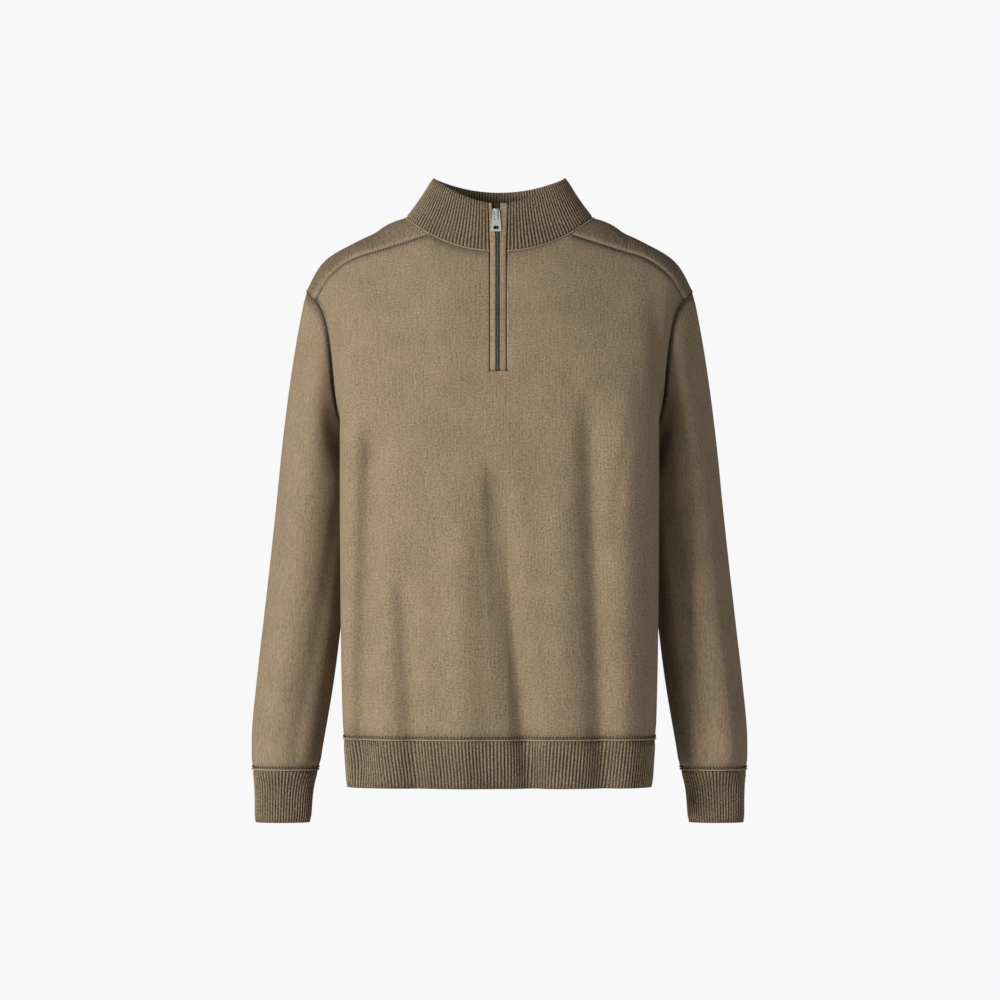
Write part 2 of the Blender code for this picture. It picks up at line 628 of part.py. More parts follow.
def make_cuff(name, mirror):
    angle = sleeve_angles(armhole())
    levels = np.linspace(CUFF_SEAM, CUFF_BOTTOM, RIB_ROWS + 1)
    grid = np.stack([sleeve_ring(z, angle) for z in levels])
    normals = -normals_of(grid, True)
    move = np.zeros_like(grid)
    move[0, :, 2] = -SEAM_GAP / 2
    normals[[0, -1]] = level(normals[[0, -1]])
    grid, normals, move = grid * mirror, normals * mirror, move * mirror
    return shell(name, grid, normals, move, RIB_WALL, "rib", closed=True, flip=mirror[0] > 0)


# ---- Collar --------------------------------------------------------------------------------
def collar_angles():
    """The collar's columns, from the zip on the right round the back to the zip on the left,
    with the columns of the pieces below it."""
    left, right = (shares * STRIP_AT_NECK / NECK_COLUMN for shares in side_shares(-1))
    near = neck_angle(right[: NECK_CELLS + 1])
    far = neck_angle(left[: NECK_CELLS + 1])
    start = neck_angle(STRIP_AT_NECK)
    over = start * (1 - 2 * ACROSS)
    back = -neck_angle(side_shares(1)[1][: NECK_CELLS + 1] * STRIP_AT_NECK / NECK_COLUMN)
    right_half = np.concatenate([near[:-1], over[:-1], back[::-1]])
    left_half = np.concatenate([far[:-1], over[:-1], back[::-1]])
    return np.concatenate([right_half, -math.pi - left_half[::-1]])


def top_shift(angle):
    """How far the top edge's angles turn near the zip, to keep the slot's width there."""
    right = math.acos(PLACKET_TOP_RIGHT / TOP_HALF_WIDTH) - angle[0]
    left = -math.pi - math.acos(-PLACKET_TOP_LEFT / TOP_HALF_WIDTH) - angle[-1]
    near_right = 1 - ease((angle[0] - angle) / OPENING_REACH)
    near_left = 1 - ease((angle - angle[-1]) / OPENING_REACH)
    return right * near_right + left * near_left


def make_collar():
    """The ribbed stand collar, open at the front for the zip."""
    angle = collar_angles()
    low = neckline(angle)
    top = collar_top(angle + top_shift(angle))
    t = np.linspace(0, 1, COLLAR_ROWS + 1)[:, None, None]
    bow = COLLAR_BOW * unit(low * (1, 1, 0))
    grid = low + (top - low) * t - bow * 4 * t * (1 - t)
    normals = normals_of(grid, False)
    normals[0] = neck_mitre(grid[0])
    move = np.zeros_like(grid)
    move[0] = apart(grid[0], normals[0], (0, 0, 1))
    return shell("collar", grid, normals, move, COLLAR_WALL, "rib")


# ---- Zip and its edging ----------------------------------------------------------------------
def zip_path():
    """The front's middle line from the placket's lower end to the collar's top, as y and z,
    with the directions out of the cloth along it."""
    chest_line = chest(np.array([0.0]), -1, CHEST_T[CHEST_ROWS:])[:, 0, 1:]
    t = np.linspace(0, 1, ZIP_COLLAR_ROWS + 1)[1:, None]
    centre = np.array([math.pi / 2])
    low, top = neckline(centre)[0, 1:], collar_top(centre)[0, 1:]
    bow = np.array((COLLAR_BOW, 0)) * 4 * t * (1 - t)
    line = np.concatenate([chest_line, low + (top - low) * t + bow])
    along = unit(np.gradient(line, axis=0))
    return line, np.stack([-along[:, 1], along[:, 0]], axis=-1)


def zip_gap(z):
    """The middle and half the width of the gap between the edging strips."""
    flare = ease((z - FLARE_LOW) / FLARE_HEIGHT)
    middle = CHAIN_X + (SLIDER_X - CHAIN_X) * flare
    return middle, (CHAIN_GAP + (SLIDER_GAP - CHAIN_GAP) * flare) / 2


def placket_edge(z, low, top):
    """The slot's edge: upright on the front, then slanting up the collar."""
    up = np.clip((z + NECK_FRONT_DROP) / (NECK_FRONT_DROP + TOP_FRONT_RISE), 0, 1)
    return low + (top - low) * up


def make_ribbon(name, x_left, x_right, line, out, front, back, finish):
    """A flat ribbon along a line, between two edges, from one depth in the cloth to another."""
    corners = ((x_left, front), (x_right, front), (x_right, back), (x_left, back))
    ring = [np.column_stack([x, *(line - out * depth).T]) for x, depth in corners]
    grid = np.stack(ring, axis=1)
    rows = len(line)
    number = np.arange(rows * 4).reshape(rows, 4)
    faces = []
    for k in range(4):
        after = (k + 1) % 4
        faces += [(number[i, k], number[i, after], number[i + 1, after], number[i + 1, k])
                  for i in range(rows - 1)]
    faces.append(tuple(number[0, ::-1]))
    faces.append(tuple(number[-1]))
    return solid(name, grid.reshape(-1, 3), faces, finish)


def make_zip():
    """The two edging strips, the tape behind them and the chain of teeth in their gap."""
    line, out = zip_path()
    line[0, 1] += 2 * SEAM_GAP
    z = line[:, 1]
    middle, half = zip_gap(z)
    left = placket_edge(z, PLACKET_LEFT, PLACKET_TOP_LEFT) + EDGING_GAP
    right = placket_edge(z, PLACKET_RIGHT, PLACKET_TOP_RIGHT) - EDGING_GAP
    depths = (-STRIP_PROUD, STRIP_DEPTH)
    make_ribbon("zip_edging_left", left, middle - half, line, out, *depths, "edging")
    make_ribbon("zip_edging_right", middle + half, right, line, out, *depths, "edging")
    reach = (middle - TAPE_HALF_WIDTH, middle + TAPE_HALF_WIDTH)
    make_ribbon("zip_tape", *reach, line, out, TAPE_FRONT, TAPE_BACK, "zip tape")
    low = z < CHAIN_TOP
    reach = (middle[low] - CHAIN_WIDTH / 2, middle[low] + CHAIN_WIDTH / 2)
    depths = (CHAIN_FRONT, CHAIN_BACK)
    make_ribbon("zip_chain", *reach, line[low], out[low], *depths, "zip metal")


# ---- Slider and pull tab ---------------------------------------------------------------------
def prism(name, outline, axis, low, high, finish):
    """A prism of a flat outline in the two other axes, from low to high along one axis."""
    outline = np.asarray(outline, float)
    count = len(outline)
    points = np.concatenate([np.insert(outline, axis, end, axis=1) for end in (low, high)])
    ring = np.arange(count)
    after = (ring + 1) % count
    sides = np.stack([ring, after, after + count, ring + count], axis=-1)
    faces = [tuple(f) for f in sides] + [tuple(ring[::-1]), tuple(ring + count)]
    area = np.sum(outline[:, 0] * outline[after, 1] - outline[after, 0] * outline[:, 1])
    if (area < 0) != (axis == 1):
        faces = [f[::-1] for f in faces]
    return solid(name, points, faces, finish)


def oval(half_x, half_z, middle_z, count=20):
    """A superellipse in x and z."""
    a = np.linspace(0, 2 * math.pi, count, endpoint=False)
    x = half_x * np.sign(np.cos(a)) * np.abs(np.cos(a)) ** 0.8
    z = half_z * np.sign(np.sin(a)) * np.abs(np.sin(a)) ** 0.8
    return np.column_stack([x, middle_z + z])


def rounded(corners, radius, steps=4):
    """A polygon's corners, each rounded by a short curve that starts a radius from it."""
    corners = np.asarray(corners, float)
    before, after = np.roll(corners, 1, axis=0), np.roll(corners, -1, axis=0)
    start = corners + unit(before - corners) * radius
    end = corners + unit(after - corners) * radius
    t = np.linspace(0, 1, steps + 1)[None, :, None]
    curve = (1 - t) ** 2 * start[:, None] + 2 * t * (1 - t) * corners[:, None] + t**2 * end[:, None]
    return curve.reshape(-1, 2)


def boolean(obj, other, operation):
    """Joins or cuts an object by a hidden one that moves with it."""
    other.hide_render = True
    other.display_type = "WIRE"
    other.parent = obj
    modifier = obj.modifiers.new(operation.title(), "BOOLEAN")
    modifier.operation = operation
    modifier.object = other
    modifier.solver = "EXACT"


def slider_place():
    """The slider frame's origin and lean, from the two places where its ends lie."""
    line, _ = zip_path()
    ends = [np.interp(z, line[:, 1], line[:, 0]) for z in (SLIDER_LOW, SLIDER_HIGH)]
    lean = -math.atan2(ends[1] - ends[0], SLIDER_HIGH - SLIDER_LOW)
    share = (SLIDER_Z - SLIDER_LOW) / (SLIDER_HIGH - SLIDER_LOW)
    return np.array((SLIDER_X, ends[0] + (ends[1] - ends[0]) * share, SLIDER_Z)), lean


def make_slider():
    """The slider's body with the bridge that holds the pull tab."""
    sides = [(-BODY_HALF_TOP, BODY_TOP), (-BODY_HALF_LOW, BODY_LOW)]
    outline = sides + [(-x, z) for x, z in sides[::-1]]
    body = prism("zip_slider", rounded(outline, 0.0012), 1, BODY_FRONT, BODY_BACK, "zip metal")
    inner = BRIDGE_FRONT + BRIDGE_THICK
    leg = 1.3 * BRIDGE_THICK
    root = BODY_FRONT + BRIDGE_THICK / 2
    bridge = [
        (root, BRIDGE_LOW),
        (inner, BRIDGE_LOW),
        (BRIDGE_FRONT, BRIDGE_LOW + leg),
        (BRIDGE_FRONT, BRIDGE_TOP - leg),
        (inner, BRIDGE_TOP),
        (root, BRIDGE_TOP),
        (root, BRIDGE_TOP - leg),
        (inner, BRIDGE_TOP - leg),
        (inner, BRIDGE_LOW + leg),
        (root, BRIDGE_LOW + leg),
    ]
    half = BRIDGE_WIDTH / 2
    arch = prism("slider_bridge_tool", bridge, 0, -half, half, "zip metal")
    boolean(body, arch, "UNION")
    origin, lean = slider_place()
    body.location = origin
    body.rotation_euler = (lean, 0, 0)


def make_pull_tab():
    """The pull tab: a plate with a slot around the bridge and an eye near its lower end. Its
    origin is on the hinge, the bar above the slot."""
    corners = [
        (-TAB_HALF_TOP, TAB_TOP),
        (-TAB_HALF_LOW, TAB_LOW),
        (TAB_HALF_LOW, TAB_LOW),
        (TAB_HALF_TOP, TAB_TOP),
    ]
    reach = TAB_THICK / 2
    plate = prism("pull_tab", rounded(corners, 0.0016), 1, -reach, reach, "zip metal")
    slot = [(-SLOT_HALF, SLOT_TOP), (-SLOT_HALF, SLOT_LOW)]
    slot += [(SLOT_HALF, SLOT_LOW), (SLOT_HALF, SLOT_TOP)]
    holes = {
        "tab_slot_tool": rounded(slot, SLOT_CORNER),
        "tab_eye_tool": oval(EYE_HALF_WIDTH, EYE_HALF_HEIGHT, EYE_MIDDLE),
    }
    for name, outline in holes.items():
        boolean(plate, prism(name, outline, 1, -2 * reach, 2 * reach, "zip metal"), "DIFFERENCE")
    origin, lean = slider_place()
    c, s = math.cos(lean), math.sin(lean)
    plate.location = origin + (0, HINGE_Y * c - HINGE_Z * s, HINGE_Y * s + HINGE_Z * c)
    plate.rotation_euler = (lean, 0, 0)


def build():
    for old in list(bpy.data.objects):
        bpy.data.objects.remove(old, do_unlink=True)
    make_panel("front_panel", -1)
    make_panel("back_panel", 1)
    make_hem()
    for hand, mirror in (("right", 1), ("left", MIRROR)):
        mirror = np.ones(3) * mirror
        make_shoulder_strip(f"shoulder_strip_{hand}", mirror)
        make_sleeve(f"sleeve_{hand}", mirror)
        make_cuff(f"cuff_{hand}", mirror)
    make_collar()
    make_zip()
    make_slider()
    make_pull_tab()


build()
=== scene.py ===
"""Looks of the quarter zip sweater: knitted cloth, ribs, seams, zip and stage.

Metres, +Z up, front towards -Y. Every cloth piece is a thin wall around a surface worked
out on a grid from the same sizes as the solid that it stands for. Ribs, rolled edges and
folds are in the mesh, and stitches finer than two millimetres are in the materials.
"""

import math

import bmesh
import bpy
import numpy as np
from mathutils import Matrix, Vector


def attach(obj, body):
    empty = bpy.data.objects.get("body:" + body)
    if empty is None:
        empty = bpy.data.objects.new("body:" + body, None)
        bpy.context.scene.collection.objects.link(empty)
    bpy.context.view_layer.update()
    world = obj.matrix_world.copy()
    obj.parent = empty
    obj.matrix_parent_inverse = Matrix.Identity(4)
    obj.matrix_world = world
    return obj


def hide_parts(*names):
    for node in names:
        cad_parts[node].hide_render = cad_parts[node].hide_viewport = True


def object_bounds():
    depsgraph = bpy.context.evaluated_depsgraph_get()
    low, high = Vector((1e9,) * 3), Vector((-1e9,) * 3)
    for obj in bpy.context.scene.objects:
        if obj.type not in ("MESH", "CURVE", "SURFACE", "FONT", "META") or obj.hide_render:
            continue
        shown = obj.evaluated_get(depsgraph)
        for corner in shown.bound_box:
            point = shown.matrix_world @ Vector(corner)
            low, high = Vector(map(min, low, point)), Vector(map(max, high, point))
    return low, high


bl_info = {
    "name": "Quarter Zip Sweater",
    "version": (1, 0, 0),
    "blender": (4, 5, 0),
    "location": "3D View > Sidebar > Sweater",
    "description": "Builds the visible pieces of a knitted quarter zip sweater",
    "category": "Object",
}

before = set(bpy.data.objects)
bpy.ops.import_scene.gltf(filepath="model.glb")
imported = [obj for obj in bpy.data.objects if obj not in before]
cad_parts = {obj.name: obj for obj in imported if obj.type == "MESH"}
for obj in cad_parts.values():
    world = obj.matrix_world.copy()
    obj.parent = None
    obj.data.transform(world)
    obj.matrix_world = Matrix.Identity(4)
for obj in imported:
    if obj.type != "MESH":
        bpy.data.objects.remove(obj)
CAD_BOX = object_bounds()
GARMENT, TAB = "garment", "pull_tab"

# ---- Cloth -----------------------------------------------------------------------------
JERSEY_WALL, STRIP_WALL, RIB_WALL, COLLAR_WALL = 0.0020, 0.0022, 0.0024, 0.0030
EDGE_BACK = 0.00015  # how far each cut edge stays off its seam

# ---- Levels ----------------------------------------------------------------------------
HEM_BOTTOM, HEM_SEAM, UNDERARM = -0.681, -0.623, -0.268
SLEEVE_ROUND, CUFF_SEAM, CUFF_BOTTOM = -0.335, -0.662, -0.726

# ---- Neck ------------------------------------------------------------------------------
NECK_HALF_WIDTH = 0.113
NECK_FRONT, NECK_BACK = -0.080, 0.062
NECK_FRONT_DROP, NECK_BACK_DROP = 0.042, 0.022
TOP_HALF_WIDTH = 0.080
TOP_FRONT, TOP_BACK = -0.066, 0.046
TOP_SIDE_RISE, TOP_FRONT_RISE, TOP_BACK_RISE = 0.0486, 0.0156, 0.0331
STRIP_AT_NECK = 0.084
NECK_COLUMN = 0.255  # share of a half row that lies under the collar
COLLAR_BOW = 0.0018
OPENING_REACH = 0.9

# ---- Zip -------------------------------------------------------------------------------
PLACKET_LEFT, PLACKET_RIGHT = -0.0118, 0.0086
PLACKET_TOP_LEFT, PLACKET_TOP_RIGHT = -0.0138, 0.0106
PLACKET_BOTTOM = -0.186
CHAIN_X, CHAIN_GAP = -0.0020, 0.0042
SLIDER_X, SLIDER_GAP = -0.0040, 0.0094
FLARE_LOW, FLARE_HEIGHT = -0.0235, 0.015
CHAIN_TOP = -0.0104


def table(columns, *rows):
    """A short table with named columns, as a dictionary of arrays."""
    return dict(zip(columns.split(), np.array(rows, float).T))


# Level sections of the body, as on the solid.
BODY = table(
    "z half_width widest front back front_squareness back_squareness",
    (-0.681, 0.1830, -0.038, 0.078, 0.150, 2.9, 2.3),
    (-0.623, 0.1865, -0.040, 0.082, 0.156, 2.9, 2.3),
    (-0.559, 0.1885, -0.041, 0.084, 0.158, 2.9, 2.25),
    (-0.450, 0.1900, -0.045, 0.084, 0.160, 2.8, 2.05),
    (-0.340, 0.1905, -0.050, 0.082, 0.166, 2.8, 1.95),
    (-0.268, 0.1905, -0.052, 0.080, 0.168, 2.8, 1.95),
)
SIDE_SEAM_ANGLE = math.radians(27)

# Folds of the body: ridges have a positive height, troughs a negative one. side is -1 on
# the front and +1 on the back.
FOLDS = table(
    "side x_top z_top x_low z_low half_width height",
    (-1, -0.150, -0.220, -0.164, -0.640, 0.015, -0.0170),
    (-1, -0.116, -0.400, -0.098, -0.690, 0.014, -0.0095),
    (-1, -0.046, -0.330, -0.042, -0.690, 0.024, 0.0085),
    (-1, -0.008, -0.270, 0.038, -0.690, 0.014, -0.0150),
    (-1, 0.072, -0.300, 0.076, -0.690, 0.022, 0.0055),
    (-1, 0.104, -0.200, 0.124, -0.690, 0.014, -0.0105),
    (-1, 0.150, -0.180, 0.154, -0.690, 0.018, 0.0055),
    (-1, 0.163, -0.215, 0.140, -0.330, 0.008, -0.0016),
    (-1, -0.166, -0.205, -0.146, -0.340, 0.008, -0.0014),
    (-1, -0.075, -0.520, -0.070, -0.690, 0.014, -0.0014),
    (-1, 0.010, -0.470, 0.004, -0.640, 0.012, 0.0012),
    (-1, 0.090, -0.540, 0.098, -0.690, 0.012, 0.0014),
    (1, -0.110, -0.220, -0.125, -0.640, 0.022, -0.0045),
    (1, -0.030, -0.330, -0.055, -0.690, 0.026, -0.0050),
    (1, 0.020, -0.360, 0.024, -0.690, 0.024, 0.0040),
    (1, 0.074, -0.260, 0.092, -0.690, 0.022, -0.0055),
    (1, 0.128, -0.240, 0.122, -0.560, 0.020, 0.0030),
)
FOLD_FADE = 0.070

STRIP = table(
    "along front_x front_y front_z crest_z back_x back_y back_z",
    (0.00, 0.0840, -0.0565, -0.0202, 0.0000, 0.0840, 0.0385, -0.0100),
    (0.25, 0.1400, -0.0440, -0.0375, -0.0140, 0.1380, 0.0440, -0.0340),
    (0.50, 0.1760, -0.0370, -0.0490, -0.0300, 0.1740, 0.0480, -0.0500),
    (0.75, 0.2040, -0.0310, -0.0690, -0.0508, 0.2030, 0.0490, -0.0720),
    (1.00, 0.2226, -0.0220, -0.0980, -0.0870, 0.2226, 0.0430, -0.1000),
)
RISE = table(
    "share front_x front_y front_z front_lead back_x back_y back_z back_lead",
    (0.000, 0.00, 0.36, 0.93, 0.075, 0.00, -0.34, 0.94, 0.085),
    (0.255, 0.00, 0.55, 0.83, 0.078, 0.00, -0.42, 0.90, 0.085),
    (0.620, 0.03, 0.60, 0.80, 0.070, 0.03, -0.50, 0.86, 0.080),
    (1.000, 0.58, 0.72, 0.56, 0.062, 0.36, -0.70, 0.62, 0.062),
)
UNDERARM_LEAD = 0.080
ARMHOLE_LEAD = {"front": 0.088, "back": 0.064}
ARMHOLE_LEAD_FROM = 0.55

SLEEVE = table(
    "z inner outer middle_y depth squareness",
    (-0.335, 0.1770, 0.2685, 0.0450, 0.142, 2.1),
    (-0.415, 0.1840, 0.2770, 0.0420, 0.135, 2.1),
    (-0.487, 0.1910, 0.2850, 0.0370, 0.125, 2.1),
    (-0.559, 0.2000, 0.2930, 0.0300, 0.112, 2.1),
    (-0.631, 0.2120, 0.2985, 0.0210, 0.096, 2.1),
    (-0.662, 0.2175, 0.2975, 0.0180, 0.086, 2.0),
    (-0.674, 0.2210, 0.2960, 0.0170, 0.068, 2.0),
    (-0.726, 0.2270, 0.2945, 0.0130, 0.052, 2.0),
)
SLEEVE_HEAD_OUT = np.array((0.22, 0.0, 0.0))
SLEEVE_HEAD_IN = np.array((0.83, 0.0, 0.0))
SLEEVE_HEAD_FORE = np.array((0.0, -0.10, 0.0))
SLEEVE_COME_IN = (-0.09, 0.0, 0.0)

# Folds of a sleeve. turn is the angle round it, 0 at its inner side and a quarter turn at
# its front. hand is +1 for the sleeve at +X and -1 for the other.
SLEEVE_FOLDS = table(
    "hand turn_top z_top turn_low z_low half_turn height",
    (1, 0.27, -0.190, 0.31, -0.640, 0.040, 0.0024),
    (1, 0.19, -0.260, 0.22, -0.600, 0.034, -0.0030),
    (1, 0.38, -0.150, 0.42, -0.420, 0.035, -0.0018),
    (1, 0.64, -0.200, 0.60, -0.600, 0.050, -0.0034),
    (1, 0.80, -0.260, 0.84, -0.640, 0.045, 0.0026),
    (-1, 0.24, -0.210, 0.29, -0.560, 0.042, 0.0026),
    (-1, 0.16, -0.300, 0.21, -0.650, 0.032, -0.0026),
    (-1, 0.40, -0.300, 0.36, -0.620, 0.036, -0.0020),
    (-1, 0.66, -0.240, 0.70, -0.640, 0.050, -0.0030),
    (-1, 0.85, -0.200, 0.81, -0.560, 0.045, 0.0024),
)


# ---- Curves ----------------------------------------------------------------------------
def smooth(known_at, known, at):
    """A smooth curve through known values, by cubics whose slopes are those of the chords."""
    slopes = np.gradient(known, known_at)
    left = np.clip(np.searchsorted(known_at, at, side="right") - 1, 0, len(known_at) - 2)
    span = known_at[left + 1] - known_at[left]
    t = np.clip((at - known_at[left]) / span, 0, 1)
    rise = known[left + 1] - known[left]
    a = slopes[left] * span
    b = slopes[left + 1] * span
    return known[left] + t * (a + t * (3 * rise - 2 * a - b + t * (a + b - 2 * rise)))


def read(rows, name, by, at):
    """The named column of a table, read smoothly at values of another column."""
    order = np.argsort(rows[by])
    return smooth(rows[by][order], rows[name][order], np.asarray(at, float))


def ease(t):
    """0 below 0, 1 above 1 and a smooth step between."""
    t = np.clip(t, 0, 1)
    return t * t * (3 - 2 * t)


def bezier(p0, p1, p2, p3, t):
    """Points of a cubic between p0 and p3 for each t, first axis t."""
    t = np.asarray(t)[:, None, None]
    s = 1 - t
    return s**3 * p0 + 3 * s * s * t * p1 + 3 * s * t * t * p2 + t**3 * p3


def unit(v):
    return v / np.maximum(np.linalg.norm(v, axis=-1, keepdims=True), 1e-12)


# ---- The body's form -------------------------------------------------------------------------
def fold_height(x, z, side):
    """How far the folds of one side move the cloth out at a place on it."""
    total = np.zeros(np.broadcast(x, z).shape)
    for i in np.flatnonzero(FOLDS["side"] == side):
        fold = {name: column[i] for name, column in FOLDS.items()}
        down = (fold["z_top"] - z) / (fold["z_top"] - fold["z_low"])
        middle = fold["x_top"] + (fold["x_low"] - fold["x_top"]) * np.clip(down, 0, 1)
        fade = ease((fold["z_top"] - z) / FOLD_FADE) * ease((z - fold["z_low"]) / FOLD_FADE + 1)
        total += fold["height"] * fade * np.exp(-(((x - middle) / fold["half_width"]) ** 2))
    return total


def body_section(z, angle):
    """Points of the level section at z. angle is 0 at the widest point and 90 degrees at
    centre back; the radius is that of an oval of the table's sizes and squareness."""
    size = {name: read(BODY, name, "z", z) for name in BODY}
    ahead = np.sin(angle) < 0
    depth = np.where(ahead, size["front"], size["back"])
    power = np.where(ahead, size["front_squareness"], size["back_squareness"])
    across = np.abs(np.cos(angle) / size["half_width"]) ** power
    along = np.abs(np.sin(angle) / depth) ** power
    radius = (across + along) ** (-1 / power)
    x = radius * np.cos(angle)
    y = size["widest"] + radius * np.sin(angle)
    return np.stack([x, y, np.full_like(x, z)], axis=-1)


def half_row(z, side, shares):
    """A level row of the right half, from the centre, share 0, to the side seam, share 1.
    Up to NECK_COLUMN the rows' points keep their x, so the columns there are straight."""
    size = {name: float(read(BODY, name, "z", z)) for name in BODY}
    depth, power = (
        (-size["front"], size["front_squareness"])
        if side < 0
        else (size["back"], size["back_squareness"])
    )
    x = STRIP_AT_NECK * shares / NECK_COLUMN
    y = size["widest"] + depth * (1 - np.clip(x / size["half_width"], 0, 1) ** power) ** (1 / power)
    straight = np.stack([x, y, np.full_like(x, z)], axis=-1)
    start = math.atan2(
        depth * (1 - (STRIP_AT_NECK / size["half_width"]) ** power) ** (1 / power), STRIP_AT_NECK
    )
    dense = body_section(z, np.linspace(start, SIDE_SEAM_ANGLE, 400))
    length = np.append(0, np.cumsum(np.linalg.norm(np.diff(dense, axis=0), axis=1)))
    at = length[-1] * (shares - NECK_COLUMN) / (1 - NECK_COLUMN)
    round_side = np.stack([np.interp(at, length, dense[:, k]) for k in range(3)], axis=-1)
    row = np.where((shares <= NECK_COLUMN)[:, None], straight, round_side)
    return row


def neckline(angle):
    """The collar seam. angle is 0 at the right shoulder and 90 degrees at centre front."""
    c, s = np.cos(angle), np.sin(angle)
    middle, half = (NECK_FRONT + NECK_BACK) / 2, (NECK_BACK - NECK_FRONT) / 2
    front = -NECK_FRONT_DROP * (1 - np.abs(c) ** 2.2)
    back = -NECK_BACK_DROP * (1 - c * c)
    return np.stack([NECK_HALF_WIDTH * c, middle - half * s, np.where(s > 0, front, back)], axis=-1)


def collar_top(angle):
    """The collar's top edge, with the same angles as its seam."""
    c, s = np.cos(angle), np.sin(angle)
    middle, half = (TOP_FRONT + TOP_BACK) / 2, (TOP_BACK - TOP_FRONT) / 2
    low = np.where(s > 0, TOP_FRONT_RISE, TOP_BACK_RISE)
    z = low + (TOP_SIDE_RISE - low) * c * c
    return np.stack([TOP_HALF_WIDTH * c, middle - half * s, z], axis=-1)


def neck_angle(x):
    """The neckline's angle at a distance x from the centre."""
    return np.arccos(np.clip(x / NECK_HALF_WIDTH, -1, 1))


def side_name(side):
    return "front" if side < 0 else "back"


def strip_seam(along, side):
    """The shoulder strip's front or back seam."""
    name = side_name(side)
    return np.stack([read(STRIP, f"{name}_{k}", "along", along) for k in "xyz"], axis=-1)


def top_row(shares, side):
    """The upper edge of a panel's right half: the neckline, then the strip's seam."""
    angle = -side * neck_angle(STRIP_AT_NECK * shares / NECK_COLUMN)
    along = np.clip((shares - NECK_COLUMN) / (1 - NECK_COLUMN), 0, 1)
    return np.where((shares <= NECK_COLUMN)[:, None], neckline(angle), strip_seam(along, side))


def rise_of(shares, side):
    """The direction in which the cloth rises across a panel's upper edge."""
    name = side_name(side)
    return unit(np.stack([read(RISE, f"{name}_{k}", "share", shares) for k in "xyz"], axis=-1))


def chest(shares, side, t):
    """The panel above the underarm, as cubics from the underarm row to the upper edge."""
    name = side_name(side)
    low = half_row(UNDERARM, side, shares)
    step = 0.010
    slope = (low - half_row(UNDERARM - step, side, shares)) / step
    nearer = half_row(UNDERARM, side, shares - 0.01)
    to_centre = unit(nearer - low)
    edge = ease((shares - ARMHOLE_LEAD_FROM) / (1 - ARMHOLE_LEAD_FROM))[:, None] ** 1.5
    low_lead = low + slope * UNDERARM_LEAD * (1 - 0.9 * edge)
    low_lead = low_lead + to_centre * ARMHOLE_LEAD[name] * edge
    top = top_row(shares, side)
    lead = read(RISE, f"{name}_lead", "share", shares)[:, None]
    return bezier(low, low_lead, top - rise_of(shares, side) * lead, top, t)


def strip_arch(along, across):
    """The shoulder strip: cubic arches from the front seam over the crest to the back seam,
    drawn at the neck end to the neckline."""
    front, back = strip_seam(along, -1), strip_seam(along, 1)
    shares = NECK_COLUMN + (1 - NECK_COLUMN) * along
    up_front, up_back = rise_of(shares, -1), rise_of(shares, 1)
    crest = read(STRIP, "crest_z", "along", along)[:, None]
    middle = (front + back)[:, 2:] / 2
    lead = (crest - middle) / (0.375 * (up_front + up_back)[:, 2:])
    arch = bezier(front, front + up_front * lead, back + up_back * lead, back, across)
    start = neck_angle(STRIP_AT_NECK)
    seam = neckline(start * (1 - 2 * across))
    fade = (1 - ease(along / 0.35))[None, :, None]
    return arch + fade * (seam - arch[:, 0])[:, None, :]




# ---- Walls -----------------------------------------------------------------------------
def graded(count, start=0.0, end=0.0):
    """count + 1 shares from 0 to 1, whose steps shrink near the ends. The step is one,
    less start or end times a squared cosine that fades towards the other end."""
    t = np.linspace(0, 1, 8 * count + 1)
    step = 1 - start * np.cos(t * math.pi / 2) ** 8 - end * np.sin(t * math.pi / 2) ** 8
    whole = np.append(0, np.cumsum((step[1:] + step[:-1]) / 2))
    return np.interp(np.linspace(0, whole[-1], count + 1), whole, t)


def lengths(grid, axis):
    """Lengths along the grid's rows, axis 1, or columns, axis 0, from the first point."""
    steps = np.linalg.norm(np.diff(grid, axis=axis), axis=2)
    start = np.zeros_like(np.take(steps, [0], axis=axis))
    return np.concatenate([start, np.cumsum(steps, axis=axis)], axis=axis)


def to_ends(along, axis):
    """The distance to each end of the rows or columns that lengths measured."""
    return along, np.take(along, [-1], axis=axis) - along


def normals_of(grid, closed):
    """Unit normals: rows crossed with columns. closed joins the last column to the first."""
    wide = np.concatenate([grid[:, -1:], grid, grid[:, :1]], axis=1) if closed else grid
    across = np.gradient(wide, axis=1)
    across = across[:, 1:-1] if closed else across
    return unit(np.cross(across, np.gradient(grid, axis=0)))


def roundness(distance, radius):
    """Half the wall's thickness near a cut edge, as a share: a quarter of a circle."""
    near = np.clip(distance / radius, 0, 1)
    return np.sqrt(np.clip(1 - (1 - near) ** 2, 0.02, 1))


def bump(distance, centre, width):
    """A soft ridge of height 1 along a line at a distance."""
    return np.exp(-(((distance - centre) / width) ** 2))


def resample(line, count, closed=False):
    """count points along each row of dense points, evenly spaced by length. A closed row
    ends just before its first point."""
    line = np.concatenate([line, line[:1]]) if closed else line
    along = np.append(0, np.cumsum(np.linalg.norm(np.diff(line, axis=0), axis=1)))
    at = np.linspace(0, along[-1], count + 1)[:count] if closed else np.linspace(0, along[-1], count)
    return np.stack([np.interp(at, along, line[:, k]) for k in range(3)], axis=-1)


